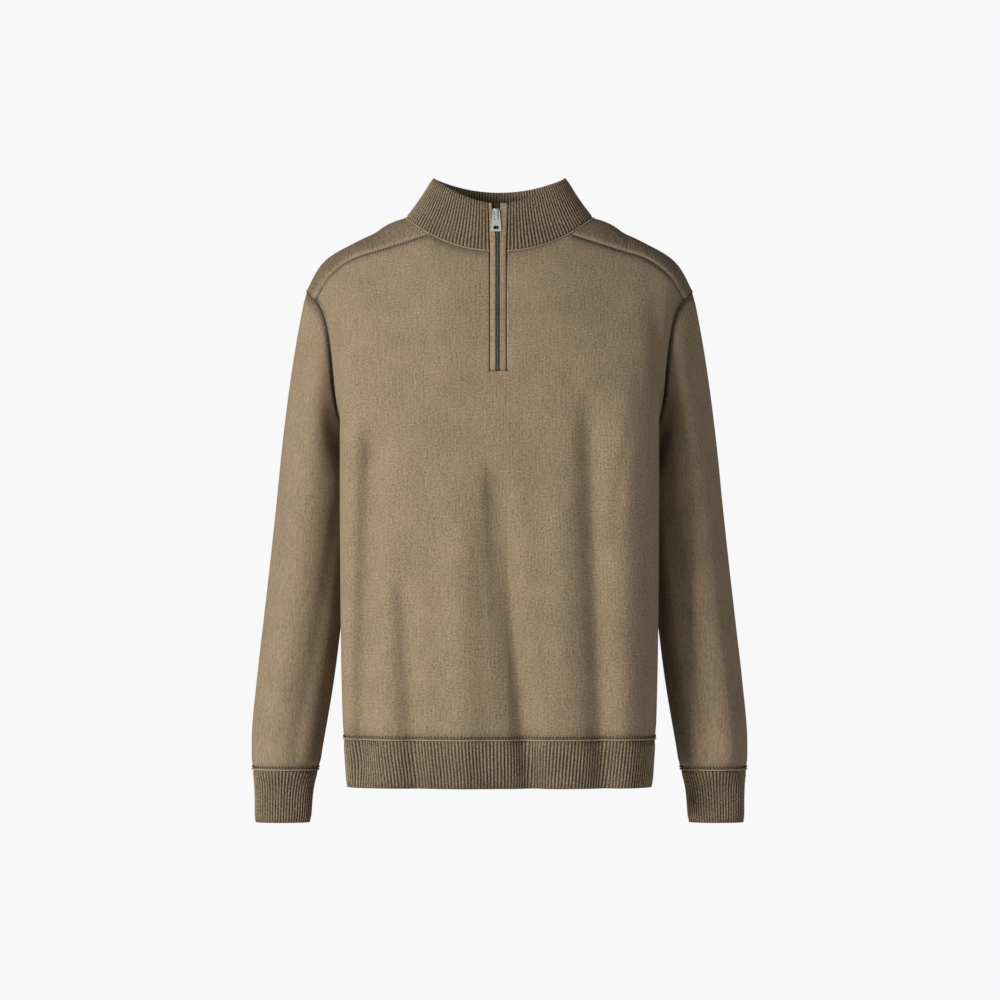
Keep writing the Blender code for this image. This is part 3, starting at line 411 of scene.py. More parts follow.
def new_mesh(name, points, faces, uv=None, smooth=True):
    """A mesh object from arrays. faces all have the same number of corners."""
    mesh = bpy.data.meshes.new(name)
    faces = np.asarray(faces, np.int32)
    corners = faces.shape[1]
    mesh.vertices.add(len(points))
    mesh.vertices.foreach_set("co", np.ascontiguousarray(points, np.float32).ravel())
    mesh.loops.add(faces.size)
    mesh.loops.foreach_set("vertex_index", faces.ravel())
    mesh.polygons.add(len(faces))
    mesh.polygons.foreach_set("loop_start", np.arange(0, faces.size, corners, dtype=np.int32))
    mesh.update(calc_edges=True)
    mesh.validate()
    if uv is not None:
        layer = mesh.uv_layers.new(name="cloth")
        layer.data.foreach_set("uv", np.ascontiguousarray(uv[faces.ravel()], np.float32).ravel())
    if smooth:
        mesh.shade_smooth()
    obj = bpy.data.objects.new(name, mesh)
    bpy.context.scene.collection.objects.link(obj)
    return obj


def rim_of(quads):
    """The directed edges that only one of the quads has."""
    ends = np.concatenate([quads[:, [k, (k + 1) % 4]] for k in range(4)]).astype(np.int64)
    key, back = ends @ (1 << 24, 1), ends[:, ::-1] @ (1 << 24, 1)
    return ends[~np.isin(back, key)]


def wall(name, grid, thickness, closed=False, hole=None, flip=False, rows_round=0.0012,
         columns_round=0.0, raise_out=0.0, raise_in=0.0, painted_shading=None, painted_shading_in=None):
    """A wall of cloth behind a grid of points. Its two faces lie half a thickness each side
    of the middle surface, pinched in a quarter of a circle at the cut edges. raise_out and
    raise_in move the outer face out and the inner face in. The last two arguments paint
    shading onto the two faces: painted shade where they are positive and a painted highlight
    where they are negative. Its map holds metres."""
    normals = normals_of(grid, closed) * (-1 if flip else 1)
    low, high = to_ends(lengths(grid, 0), 0)
    left, right = to_ends(lengths(grid, 1), 1)
    pinch = roundness(np.minimum(low, high), rows_round)
    if columns_round and not closed:
        pinch = pinch * roundness(np.minimum(left, right), columns_round)
    rise = unit(np.gradient(grid, axis=0))
    grid = grid.copy()
    grid[0] += rise[0] * EDGE_BACK
    grid[-1] -= rise[-1] * EDGE_BACK
    half = thickness / 2
    middle = grid - normals * half
    outer = middle + normals * ((half + raise_out) * pinch)[..., None]
    inner = middle - normals * ((half + raise_in) * pinch)[..., None]
    rows, columns = grid.shape[:2]
    number = np.arange(rows * columns).reshape(rows, columns)
    if closed:
        number = np.concatenate([number, number[:, :1]], axis=1)
    corners = (number[:-1, :-1], number[:-1, 1:], number[1:, 1:], number[1:, :-1])
    keep = np.ones(corners[0].shape, bool) if hole is None else ~hole
    quads = np.stack(corners, axis=-1)[keep]
    quads = quads[:, ::-1] if flip else quads
    first, second = rim_of(quads).T
    behind = rows * columns
    rim = np.stack([second, first, first + behind, second + behind], axis=-1)
    faces = np.concatenate([quads, quads[:, ::-1] + behind, rim])
    points = np.concatenate([outer.reshape(-1, 3), inner.reshape(-1, 3)])
    centre = left[:, [columns // 2]]
    uv = np.stack([left - centre, low], axis=-1).reshape(-1, 2)
    uv = np.concatenate([uv, uv])
    used = np.unique(faces)
    renumber = np.zeros(len(points), np.int64)
    renumber[used] = np.arange(len(used))
    obj = new_mesh(name, points[used], renumber[faces], uv[used])
    # Painted shade and painted highlight, stored for the knit's colour to read.
    if painted_shading is not None:
        both = [painted_shading, painted_shading if painted_shading_in is None else painted_shading_in]
        both = np.concatenate([np.broadcast_to(m, (rows, columns)).ravel() for m in both])
        layer = obj.data.attributes.new("painted_shading", "FLOAT", "POINT")
        layer.data.foreach_set("value", both[used].astype(np.float32))
    return obj


def rib_wave(turns, sharpness=1.2):
    """How far a rib's surface lies below its crest: 0 on the crest and 1 in the groove."""
    return 1 - np.abs(np.cos(math.pi * turns)) ** sharpness


def finish(obj, node, material):
    """Puts the material on a piece and lets it stand for its solid."""
    obj.data.materials.clear()
    obj.data.materials.append(material)
    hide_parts(node)
    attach(obj, GARMENT)
    return obj


# ---- Cloth surfaces --------------------------------------------------------------------
MIRROR = np.array((-1.0, 1.0, 1.0))
PANEL_LOW_ROWS, PANEL_CHEST_ROWS = 100, 84
PANEL_NECK_COLUMNS, PANEL_SIDE_COLUMNS = 26, 66
SEAM_FADE = 0.12
DENSE = 240


def panel_shares(start):
    """Shares of a half row: even steps under the collar, finer ones near the armhole."""
    first = NECK_COLUMN * start / STRIP_AT_NECK
    neck = np.linspace(first, NECK_COLUMN, PANEL_NECK_COLUMNS + 1)
    rest = NECK_COLUMN + (1 - NECK_COLUMN) * graded(PANEL_SIDE_COLUMNS, end=0.85)
    return np.append(neck[:-1], rest)


def folded(grid, shares, side):
    """Moves rows of a panel or hem by its folds, which die out at the side seams."""
    fade = ease((1 - np.abs(shares)) / SEAM_FADE)
    grid = grid.copy()
    grid[..., 1] += side * fade * fold_height(grid[..., 0], grid[..., 2], side)
    return grid


def chest_levels():
    """Shares up the chest, with one on the placket's lower end."""
    t = np.linspace(0, 1, 400)
    heights = chest(np.array([0.02]), -1, t)[:, 0, 2]
    placket = float(np.interp(PLACKET_BOTTOM, heights, t))
    low = int(PANEL_CHEST_ROWS * placket)
    up = placket + (1 - placket) * graded(PANEL_CHEST_ROWS - low, end=0.85)
    return np.append(np.linspace(0, placket, low + 1)[:-1], up), low


def half_panel(shares, side, up):
    """A panel's half with x above 0, from the hem seam to the neckline and strip seam."""
    levels = HEM_SEAM + (UNDERARM - HEM_SEAM) * graded(PANEL_LOW_ROWS, start=0.85)[:-1]
    low = np.stack([half_row(z, side, shares) for z in levels])
    return np.concatenate([low, chest(shares, side, up)])


def panel_surface(side):
    """A whole panel as a grid, with the shares of its columns and the placket's first row
    and column."""
    up, low = chest_levels()
    left = panel_shares(-PLACKET_LEFT)
    right = panel_shares(PLACKET_RIGHT)
    halves = half_panel(left, side, up)[:, ::-1] * MIRROR, half_panel(right, side, up)
    grid = np.concatenate(halves, axis=1)
    shares = np.append(-left[::-1], right)
    return folded(grid, shares, side), shares, PANEL_LOW_ROWS + low, len(left) - 1


def ring_row(z, count):
    """A level row all round the body, from centre back past +X to centre front and back."""
    shares = np.linspace(0, 1, DENSE)
    front = [half_row(z, -1, shares), half_row(z, -1, shares) * MIRROR]
    back = [half_row(z, 1, shares), half_row(z, 1, shares) * MIRROR]
    front = [folded(row, shares, -1) for row in front]
    back = [folded(row, shares, 1) for row in back]
    ring = [back[0], front[0][::-1], front[1], back[1][::-1]]
    return resample(np.concatenate([ring[0][:-1], ring[1], ring[2][:-1], ring[3][:-1]]), count, True)


def armhole(count):
    """The armhole at +X as a closed loop of evenly spaced points: up the front, over the
    strip and down the back."""
    edge, t = np.array([1.0]), np.linspace(0, 1, DENSE)
    front, back = (chest(edge, side, t)[:, 0] for side in (-1, 1))
    over = strip_arch(edge, t)[:, 0]
    return resample(np.concatenate([front[:-1], over[:-1], back[:0:-1]]), count, True)


def sleeve_ring(z, angle):
    """A level oval of the sleeve at +X. angle is 0 on its inner side and a quarter turn at
    its front."""
    size = {name: float(read(SLEEVE, name, "z", z)) for name in SLEEVE}
    half, depth = (size["outer"] - size["inner"]) / 2, size["depth"] / 2
    power = size["squareness"]
    c, s = np.cos(angle), np.sin(angle)
    radius = (np.abs(c / half) ** power + np.abs(s / depth) ** power) ** (-1 / power)
    x = (size["outer"] + size["inner"]) / 2 - radius * c
    return np.stack([x, size["middle_y"] - radius * s, np.full_like(x, z)], axis=-1)


def sleeve_surface(hand, count, head_rows, rows):
    """A sleeve from the armhole to the cuff seam. Its head is cubics that leave the armhole
    downwards and come in upright to the first oval; its folds follow their table."""
    loop = armhole(count)
    angle = 2 * math.pi * np.arange(count) / count
    low = sleeve_ring(SLEEVE_ROUND, angle)
    outer = ((1 - np.cos(angle)) / 2)[:, None]
    drop = (loop[:, 2] - SLEEVE_ROUND)[:, None]
    leave = outer * SLEEVE_HEAD_OUT + (1 - outer) * SLEEVE_HEAD_IN + (0, 0, -1)
    leave = leave + np.sin(angle)[:, None] * SLEEVE_HEAD_FORE
    come = np.array(SLEEVE_COME_IN) * outer + (0, 0, 1)
    t = graded(head_rows, start=0.85)
    head = bezier(loop, loop + leave * drop * 0.30, low + come * drop * 0.36, low, t)
    levels = SLEEVE_ROUND + (CUFF_SEAM - SLEEVE_ROUND) * graded(rows, end=0.8)[1:]
    grid = np.concatenate([head, np.stack([sleeve_ring(z, angle) for z in levels])])
    out = -normals_of(grid, True)
    top = ease(lengths(grid, 0) / 0.05)
    height = np.zeros(grid.shape[:2])
    turn = np.broadcast_to(angle / (2 * math.pi), height.shape)
    for i in np.flatnonzero(SLEEVE_FOLDS["hand"] == hand):
        fold = {name: column[i] for name, column in SLEEVE_FOLDS.items()}
        down = (fold["z_top"] - grid[..., 2]) / (fold["z_top"] - fold["z_low"])
        middle = fold["turn_top"] + (fold["turn_low"] - fold["turn_top"]) * np.clip(down, 0, 1)
        ends = ease((fold["z_top"] - grid[..., 2]) / FOLD_FADE)
        ends = ends * ease((grid[..., 2] - fold["z_low"]) / FOLD_FADE + 1)
        away = (turn - middle + 0.5) % 1 - 0.5
        height += fold["height"] * ends * np.exp(-((away / fold["half_turn"]) ** 2))
    edge = ease((grid[..., 2] - CUFF_SEAM) / 0.02)
    return (grid + out * (height * top * edge)[..., None]) * (hand, 1, 1)


# ---- Shader maths ----------------------------------------------------------------------
class Value:
    """A socket of a material. Python's operators on it add Math nodes."""

    def __init__(self, tree, socket):
        self.tree, self.socket = tree, socket

    def math(self, operation, *others):
        inputs = {i: v for i, v in enumerate((self, *others))}
        return node(self.tree, "ShaderNodeMath", {"operation": operation}, inputs)

    def __add__(self, other):
        return self.math("ADD", other)

    def __sub__(self, other):
        return self.math("SUBTRACT", other)

    def __rsub__(self, other):
        return (self * -1).math("ADD", other)

    def __mul__(self, other):
        return self.math("MULTIPLY", other)

    def __truediv__(self, other):
        return self.math("DIVIDE", other)

    def __pow__(self, other):
        return self.math("POWER", other)

    __radd__ = __add__
    __rmul__ = __mul__


def plug(tree, value, socket):
    """Links a Value to a socket, or sets the socket to a number or colour."""
    if isinstance(value, Value):
        tree.links.new(value.socket, socket)
    else:
        socket.default_value = value


def node(tree, kind, settings=(), inputs=(), output=0):
    """A new node with its settings and inputs; its output as a Value."""
    made = tree.nodes.new(kind)
    for name, value in dict(settings).items():
        setattr(made, name, value)
    for name, value in dict(inputs).items():
        plug(tree, value, made.inputs[name])
    return Value(tree, made.outputs[output])


def ramp(tree, factor, *stops):
    """A colour ramp of (position, colour) stops."""
    made = tree.nodes.new("ShaderNodeValToRGB")
    elements = made.color_ramp.elements
    while len(elements) < len(stops):
        elements.new(0.5)
    for element, (position, colour) in zip(elements, stops):
        element.position, element.color = position, (*colour, 1)
    plug(tree, factor, made.inputs[0])
    return Value(tree, made.outputs[0])


def new_material(name, colour, roughness=0.9, metallic=0.0, sheen=0.0):
    """A named material and its Principled shader."""
    made = bpy.data.materials.new(name)
    made.use_nodes = True
    made.diffuse_color = (*colour, 1)
    shader = made.node_tree.nodes["Principled BSDF"]
    shader.inputs["Base Color"].default_value = (*colour, 1)
    shader.inputs["Roughness"].default_value = roughness
    shader.inputs["Metallic"].default_value = metallic
    shader.inputs["Sheen Weight"].default_value = sheen
    shader.inputs["Sheen Roughness"].default_value = 0.5
    shader.inputs["Specular IOR Level"].default_value = 0.25 if metallic == 0 else 0.5
    return made, made.node_tree, shader


def knit(name, colour, wale, course, bump_height, relief=1.0):
    """Marled knit. Each column of stitches is two legs that lean to its middle, and each leg
    is a row of soft ovals; the yarn's colour varies from stitch to stitch and over the cloth.
    Its colour also carries painted shade: lighter on the stitches' crests, darker between
    them, and darker or lighter by the piece's painted shading."""
    made, tree, shader = new_material(name, colour, roughness=0.95, sheen=0.05)
    place = node(tree, "ShaderNodeUVMap", {"uv_map": "cloth"})
    parts = tree.nodes.new("ShaderNodeSeparateXYZ")
    plug(tree, place, parts.inputs[0])
    u, v = Value(tree, parts.outputs[0]), Value(tree, parts.outputs[1])
    leg = ((u / wale).math("FRACT") - 0.5).math("ABSOLUTE") * 2
    stitch = ((v / course + leg * 0.5) * (2 * math.pi)).math("SINE") * 0.5 + 0.5
    height = (1 - leg ** 3) * (stitch * 0.6 + 0.4)
    spot = node(tree, "ShaderNodeCombineXYZ", inputs={0: u / wale, 1: v / course})
    fleck = node(tree, "ShaderNodeTexNoise", inputs={"Vector": spot, "Scale": 0.62, "Detail": 2.0})
    object_place = node(tree, "ShaderNodeTexCoord", output=3)
    cloud = node(tree, "ShaderNodeTexNoise",
                 inputs={"Vector": object_place, "Scale": 22.0, "Detail": 3.0})
    drawn = node(tree, "ShaderNodeCombineXYZ", inputs={0: u / wale, 1: v / course * 0.07})
    streak = node(tree, "ShaderNodeTexNoise", inputs={"Vector": drawn, "Scale": 0.8, "Detail": 1.0})
    # Painted shade: the stitch's height also sets its colour, lighter on the crests and darker between the
    # legs.
    tone_and_shade = (fleck - 0.5) * 0.95 + (cloud - 0.5) * 0.25 + (height - 0.5) * 0.30 + 0.5
    tone_and_shade = tone_and_shade + (streak - 0.5) * 0.32
    # Painted shade and painted highlight: the piece's shading attribute darkens grooves and seams and
    # lightens raised edges.
    painted_shading_sample = node(tree, "ShaderNodeAttribute", {"attribute_name": "painted_shading"}, output=2)
    tone_and_shade = tone_and_shade - painted_shading_sample * 0.62
    dark = tuple(c * 0.16 for c in colour)
    light = tuple(min(1.0, c * 1.70) for c in colour)
    plug(tree, ramp(tree, tone_and_shade, (0.0, dark), (0.5, colour), (1.0, light)), shader.inputs["Base Color"])
    surface = (height + (fleck - 0.5) * 0.8) * relief
    normal = node(tree, "ShaderNodeBump",
                  inputs={"Strength": 0.55, "Distance": bump_height, "Height": surface})
    plug(tree, normal, shader.inputs["Normal"])
    return made


def metal(name, colour, roughness, scratch):
    """Nickel or dark metal with slight scuffs from handling in its roughness."""
    made, tree, shader = new_material(name, colour, roughness, metallic=1.0)
    place = node(tree, "ShaderNodeTexCoord", output=3)
    noise = node(tree, "ShaderNodeTexNoise", inputs={"Vector": place, "Scale": scratch, "Detail": 4.0})
    plug(tree, noise * 0.18 + (roughness - 0.09), shader.inputs["Roughness"])
    return made


def woven(name, colour, pitch):
    """Twill tape: fine slanting rows on the piece's own map."""
    made, tree, shader = new_material(name, colour, 0.85)
    place = node(tree, "ShaderNodeTexCoord", output=3)
    parts = tree.nodes.new("ShaderNodeSeparateXYZ")
    plug(tree, place, parts.inputs[0])
    x, z = Value(tree, parts.outputs[0]), Value(tree, parts.outputs[2])
    row = ((x + z) * (2 * math.pi / pitch)).math("SINE") * 0.5 + 0.5
    plug(tree, ramp(tree, row, (0.0, tuple(c * 0.6 for c in colour)), (1.0, colour)),
         shader.inputs["Base Color"])
    return made


# ---- Small pieces ----------------------------------------------------------------------
def tube(name, path, out, radius, beads=0.0, pitch=0.002, closed=True, sides=6):
    """A thread laid along a path. Its radius swells by beads at every pitch, as a cosine
    along it, and shrinks to nothing at the ends of an open one."""
    along = np.append(0, np.cumsum(np.linalg.norm(np.diff(path, axis=0), axis=1)))
    if closed:
        tangent = unit(np.roll(path, -1, axis=0) - np.roll(path, 1, axis=0))
    else:
        tangent = unit(np.gradient(path, axis=0))
    side = unit(np.cross(tangent, out))
    out = np.cross(side, tangent)
    size = radius * (1 + beads * np.cos(2 * math.pi * along / pitch))
    if not closed:
        size[[0, -1]] = 0
    turn = np.linspace(0, 2 * math.pi, sides, endpoint=False)[None, :, None]
    points = path[:, None] + size[:, None, None] * (
        np.cos(turn) * out[:, None] + np.sin(turn) * side[:, None]
    )
    rows = len(path)
    number = np.arange(rows * sides).reshape(rows, sides)
    number = np.concatenate([number, number[:, :1]], axis=1)
    if closed:
        number = np.concatenate([number, number[:1]])
    quads = np.stack(
        [number[:-1, :-1], number[:-1, 1:], number[1:, 1:], number[1:, :-1]], axis=-1
    ).reshape(-1, 4)
    uv = np.stack(np.broadcast_arrays(along[:, None], turn[..., 0] * radius), axis=-1)
    obj = new_mesh(name, points.reshape(-1, 3), quads, uv.reshape(-1, 2))
    tidy(obj)
    return obj


def tidy(obj):
    """Merges a mesh's doubles and turns its faces outwards."""
    work = bmesh.new()
    work.from_mesh(obj.data)
    bmesh.ops.remove_doubles(work, verts=work.verts, dist=1e-6)
    bmesh.ops.dissolve_degenerate(work, edges=work.edges, dist=1e-7)
    bmesh.ops.recalc_face_normals(work, faces=work.faces)
    work.to_mesh(obj.data)
    work.free()
    obj.data.shade_smooth()


def many(name, centres, across, up, out, sizes, power=2.5, rings=6, sides=8):
    """Many small rounded blocks in one mesh. Each is a superellipsoid of the given half
    sizes along its own three directions."""
    latitude = np.linspace(-math.pi / 2, math.pi / 2, rings)[:, None]
    turn = np.linspace(0, 2 * math.pi, sides, endpoint=False)[None, :]

    def soft(v):
        return np.sign(v) * np.abs(v) ** (2 / power)

    x = soft(np.cos(latitude)) * soft(np.cos(turn))
    y = soft(np.cos(latitude)) * soft(np.sin(turn))
    z = soft(np.sin(latitude)) * np.ones_like(turn)
    shape = np.stack([x, y, z], axis=-1).reshape(-1, 3) * sizes
    points = centres[:, None] + (
        shape[None, :, :1] * across[:, None] + shape[None, :, 1:2] * up[:, None]
        + shape[None, :, 2:] * out[:, None]
    )
    number = np.arange(rings * sides).reshape(rings, sides)
    number = np.concatenate([number, number[:, :1]], axis=1)
    quads = np.stack(
        [number[:-1, :-1], number[:-1, 1:], number[1:, 1:], number[1:, :-1]], axis=-1
    ).reshape(-1, 4)
    step = (np.arange(len(centres)) * rings * sides)[:, None, None]
    obj = new_mesh(name, points.reshape(-1, 3), (quads[None] + step).reshape(-1, 4))
    tidy(obj)
    return obj


def line_at(grid, distance, last):
    """The line across a grid at a mean distance from its first or last row."""
    low, high = to_ends(lengths(grid, 0), 0)
    away = (high if last else low).mean(axis=1)
    order = np.argsort(away)
    flat = grid[order].reshape(len(grid), -1)
    at = np.array([np.interp(distance, away[order], column) for column in flat.T])
    return at.reshape(-1, 3)


def stitch_row(name, path, up, out, pitch, sizes, closed=False):
    """Single stitches along a path at a pitch, each along its up direction.
    Their callers give them yarn painted in shade, so they show dark.
    """
    length = float(np.sum(np.linalg.norm(np.diff(path, axis=0), axis=1)))
    count = int(length / pitch)
    centres = resample(path, count, closed)
    turned = [unit(resample(np.broadcast_to(v, path.shape), count, closed)) for v in (up, out)]
    up, out = np.stack(turned)
    across = unit(np.cross(up, out))
    return many(name, centres, across, up, out, sizes, 2.0, rings=5, sides=6)


def trim(obj, material):
    """A small piece that stands for no solid of its own."""
    obj.data.materials.clear()
    obj.data.materials.append(material)
    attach(obj, GARMENT)
    return obj


def metal_copy(name, node_name, body, material, bevel):
    """A solid's own mesh, merged, its flat faces joined and its edges rounded."""
    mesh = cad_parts[node_name].data.copy()
    obj = bpy.data.objects.new(name, mesh)
    bpy.context.scene.collection.objects.link(obj)
    work = bmesh.new()
    work.from_mesh(mesh)
    bmesh.ops.remove_doubles(work, verts=work.verts, dist=1e-5)
    bmesh.ops.dissolve_limit(
        work, angle_limit=math.radians(2), verts=work.verts, edges=work.edges
    )
    work.to_mesh(mesh)
    work.free()
    mesh.materials.clear()
    mesh.materials.append(material)
    mesh.shade_smooth()
    mesh.set_sharp_from_angle(angle=math.radians(40))
    round_edges = obj.modifiers.new("Rounded edges", "BEVEL")
    round_edges.width = bevel
    round_edges.segments = 3
    round_edges.limit_method = "ANGLE"
    round_edges.angle_limit = math.radians(40)
    round_edges.harden_normals = True
    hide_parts(node_name)
    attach(obj, body)
    return obj


# ---- Zip lines -------------------------------------------------------------------------
def zip_line(count):
    """The front's middle line from the placket's lower end to the collar's top, evenly
    spaced, with the directions out of the cloth."""
    up, low = chest_levels()
    chest_line = chest(np.array([0.0]), -1, np.linspace(up[low], 1, DENSE))[:, 0]
    t = np.linspace(0, 1, DENSE)[1:, None]
    centre = np.array([math.pi / 2])
    bottom, top = neckline(centre)[0], collar_top(centre)[0]
    bow = np.array((0, COLLAR_BOW, 0)) * 4 * t * (1 - t)
    line = resample(np.concatenate([chest_line, bottom + (top - bottom) * t + bow]), count)
    line[:, 0] = 0
    along = unit(np.gradient(line, axis=0))
    return line, np.stack([np.zeros(count), -along[:, 2], along[:, 1]], axis=-1)


def zip_gap(z):
    """The middle and half the width of the gap between the edging strips."""
    flare = ease((z - FLARE_LOW) / FLARE_HEIGHT)
    middle = CHAIN_X + (SLIDER_X - CHAIN_X) * flare
    return middle, (CHAIN_GAP + (SLIDER_GAP - CHAIN_GAP) * flare) / 2


def placket_edge(z, low, top):
    """The slot's edge: upright on the front, then slanting up the collar."""
    up = np.clip((z + NECK_FRONT_DROP) / (NECK_FRONT_DROP + TOP_FRONT_RISE), 0, 1)
    return low + (top - low) * up


# ---- Settings --------------------------------------------------------------------------
def colour_property(name, description, default):
    return bpy.props.FloatVectorProperty(
        name=name, description=description, default=default, subtype="COLOR", size=3,
        min=0.0, max=1.0,
    )


def length_property(name, description, default):
    return bpy.props.FloatProperty(
        name=name, description=description, default=default, unit="LENGTH", min=0.0,
        precision=5,
    )


class SweaterCloth(bpy.types.PropertyGroup):
    """Colours and stitch sizes of the knit."""

    jersey: colour_property("Jersey", "Yarn colour of the body and sleeves", (0.245, 0.180, 0.112))
    rib: colour_property("Rib", "Yarn colour of the ribs", (0.235, 0.170, 0.106))
    edging: colour_property("Edging", "Yarn colour of the bands beside the zip", (0.300, 0.222, 0.145))
    wale: length_property("Wale", "Width of one column of stitches", 0.0017)
    course: length_property("Course", "Height of one row of stitches", 0.0013)
    relief: length_property("Relief", "Depth of the stitches", 0.0007)


class SweaterRibs(bpy.types.PropertyGroup):
    """Counts and depths of the ribs."""

    hem: bpy.props.IntProperty(name="Hem ribs", description="Ribs round the hem", default=240)
    cuff: bpy.props.IntProperty(name="Cuff ribs", description="Ribs round a cuff", default=56)
    collar: bpy.props.IntProperty(name="Collar ribs", description="Ribs round the collar", default=124)
    strip: bpy.props.IntProperty(name="Strip ribs", description="Ribs across a shoulder strip", default=76)
    depth: length_property("Rib depth", "Depth of the grooves between ribs", 0.0016)
    strip_depth: length_property("Strip depth", "Depth of the strip's fine ribs", 0.0007)


class SweaterZip(bpy.types.PropertyGroup):
    """Colours and pitch of the zip."""

    nickel: colour_property("Nickel", "Slider and pull tab", (0.82, 0.81, 0.78))
    teeth: colour_property("Teeth", "Metal of the teeth", (0.200, 0.195, 0.150))
    tape: colour_property("Tape", "Woven tape", (0.022, 0.022, 0.014))
    pitch: length_property("Tooth pitch", "From one tooth to the next on one side", 0.0020)


class SweaterStage(bpy.types.PropertyGroup):
    """Camera distance and the paleness of the stage."""

    distance: length_property("Camera distance", "From the camera to the garment", 8.0)
    width: length_property("View width", "Width that the camera sees at the garment", 1.2)
    floor: length_property("Floor depth", "Height of the floor below the neck", 1.6)
    backdrop: bpy.props.FloatProperty(name="Backdrop", description="Paleness of the backdrop", default=0.938)


SAMPLES_PER_RIB = 8
GROOVE = 1.0  # how strongly a groove's shade darkens the yarn
TICK = (0.0007, 0.0015, 0.0004)  # half the width, length and height of a sunk stitch


def stored(name, make):
    """A material made once and then found by its name."""
    return bpy.data.materials.get(name) or make()


def cloth_material(name, colour, relief=1.0):
    cloth = bpy.context.scene.sweater_cloth
    return stored(
        name,
        lambda: knit(name, tuple(colour), cloth.wale, cloth.course, cloth.relief, relief),
    )


def jersey_material():
    return cloth_material("Jersey knit", bpy.context.scene.sweater_cloth.jersey)


def shaded_yarn_material():
    """The yarn in the shade of a stitch hole."""
    colour = bpy.context.scene.sweater_cloth.rib
    return cloth_material("Shaded sunk yarn", tuple(0.16 * c for c in colour), 0.3)


def linking_material():
    """The linking rows catch the light, so their yarn looks paler."""
    colour = bpy.context.scene.sweater_cloth.rib
    return cloth_material("Linking yarn", tuple(1.35 * c for c in colour), 0.3)


def rib_material():
    return cloth_material("Rib knit", bpy.context.scene.sweater_cloth.rib, 0.5)


# ---- Operators -------------------------------------------------------------------------
class BuildBody(bpy.types.Operator):
    """Builds the front and the back as thin walls with their folds"""

    bl_idname = "sweater.body"
    bl_label = "Front and back"

    def execute(self, context):
        for side, node_name in ((-1, "front_panel"), (1, "back_panel")):
            grid, _, row, column = panel_surface(side)
            hole = np.zeros((grid.shape[0] - 1, grid.shape[1] - 1), bool)
            if side < 0:
                hole[row:, column] = True
            low, high = to_ends(lengths(grid, 0), 0)
            left, right = to_ends(lengths(grid, 1), 1)
            seam = np.where(grid[..., 2] > UNDERARM, np.minimum(left, right), 1.0)
            rise = 0.0006 * bump(seam, 0.0050, 0.0022) - 0.0009 * bump(seam, 0.0, 0.0016)
            rise = rise - 0.0007 * bump(high, 0.0, 0.0016)
            # Painted shade: the armhole seam's groove is drawn darker.
            painted_shading = 0.4 * bump(seam, 0.0, 0.0010)
            obj = wall(node_name + "_cloth", grid, JERSEY_WALL, hole=hole, flip=side > 0,
                       raise_out=rise, painted_shading=painted_shading)
            finish(obj, node_name, jersey_material())
            line = line_at(grid, 0.0032, False)
            out = unit((line - line.mean(axis=0)) * (0.6, 1, 0) + (0, side * 0.05, 0))
            ticks = stitch_row(node_name + "_stitches", line, (0, 0, 1), out, 0.0041, TICK)
            trim(ticks, shaded_yarn_material())
        return {"FINISHED"}


class BuildHem(bpy.types.Operator):
    """Builds the ribbed hem and the linking row above it"""

    bl_idname = "sweater.hem"
    bl_label = "Hem"

    def execute(self, context):
        ribs = context.scene.sweater_ribs
        count = ribs.hem * SAMPLES_PER_RIB
        levels = HEM_BOTTOM + (HEM_SEAM - HEM_BOTTOM) * graded(12, start=0.8, end=0.8)
        grid = np.stack([ring_row(z, count) for z in levels])
        turns = np.arange(count)[None, :] / SAMPLES_PER_RIB
        slant = (grid[..., 2] - HEM_SEAM) * 12.0 * np.sign(grid[..., 0])
        wave = rib_wave(turns + slant * ease(np.abs(grid[..., 0]) / 0.05))
        back = rib_wave(turns + 0.5)
        # Painted shade in the ribs' grooves, on both faces.
        obj = wall("hem_cloth", grid, RIB_WALL, closed=True, flip=True,
                   raise_out=-ribs.depth * wave, raise_in=-ribs.depth * back,
                   painted_shading=GROOVE * wave, painted_shading_in=GROOVE * back)
        finish(obj, "hem_rib", rib_material())
        ring = ring_row(HEM_SEAM, ribs.hem * 6)
        trim(linking_row("hem_linking", ring, -0.0002), linking_material())
        return {"FINISHED"}


def linking_row(name, ring, lift, radius=0.0009, closed=True, out=None, pitch=0.0022):
    """A row of linking stitches along a seam, a little proud of the cloth."""
    if out is None:
        middle = ring.mean(axis=0)
        out = unit((ring - middle) * (1, 1, 0))
    return tube(name, ring + out * lift, out, radius, 0.32, pitch, closed)


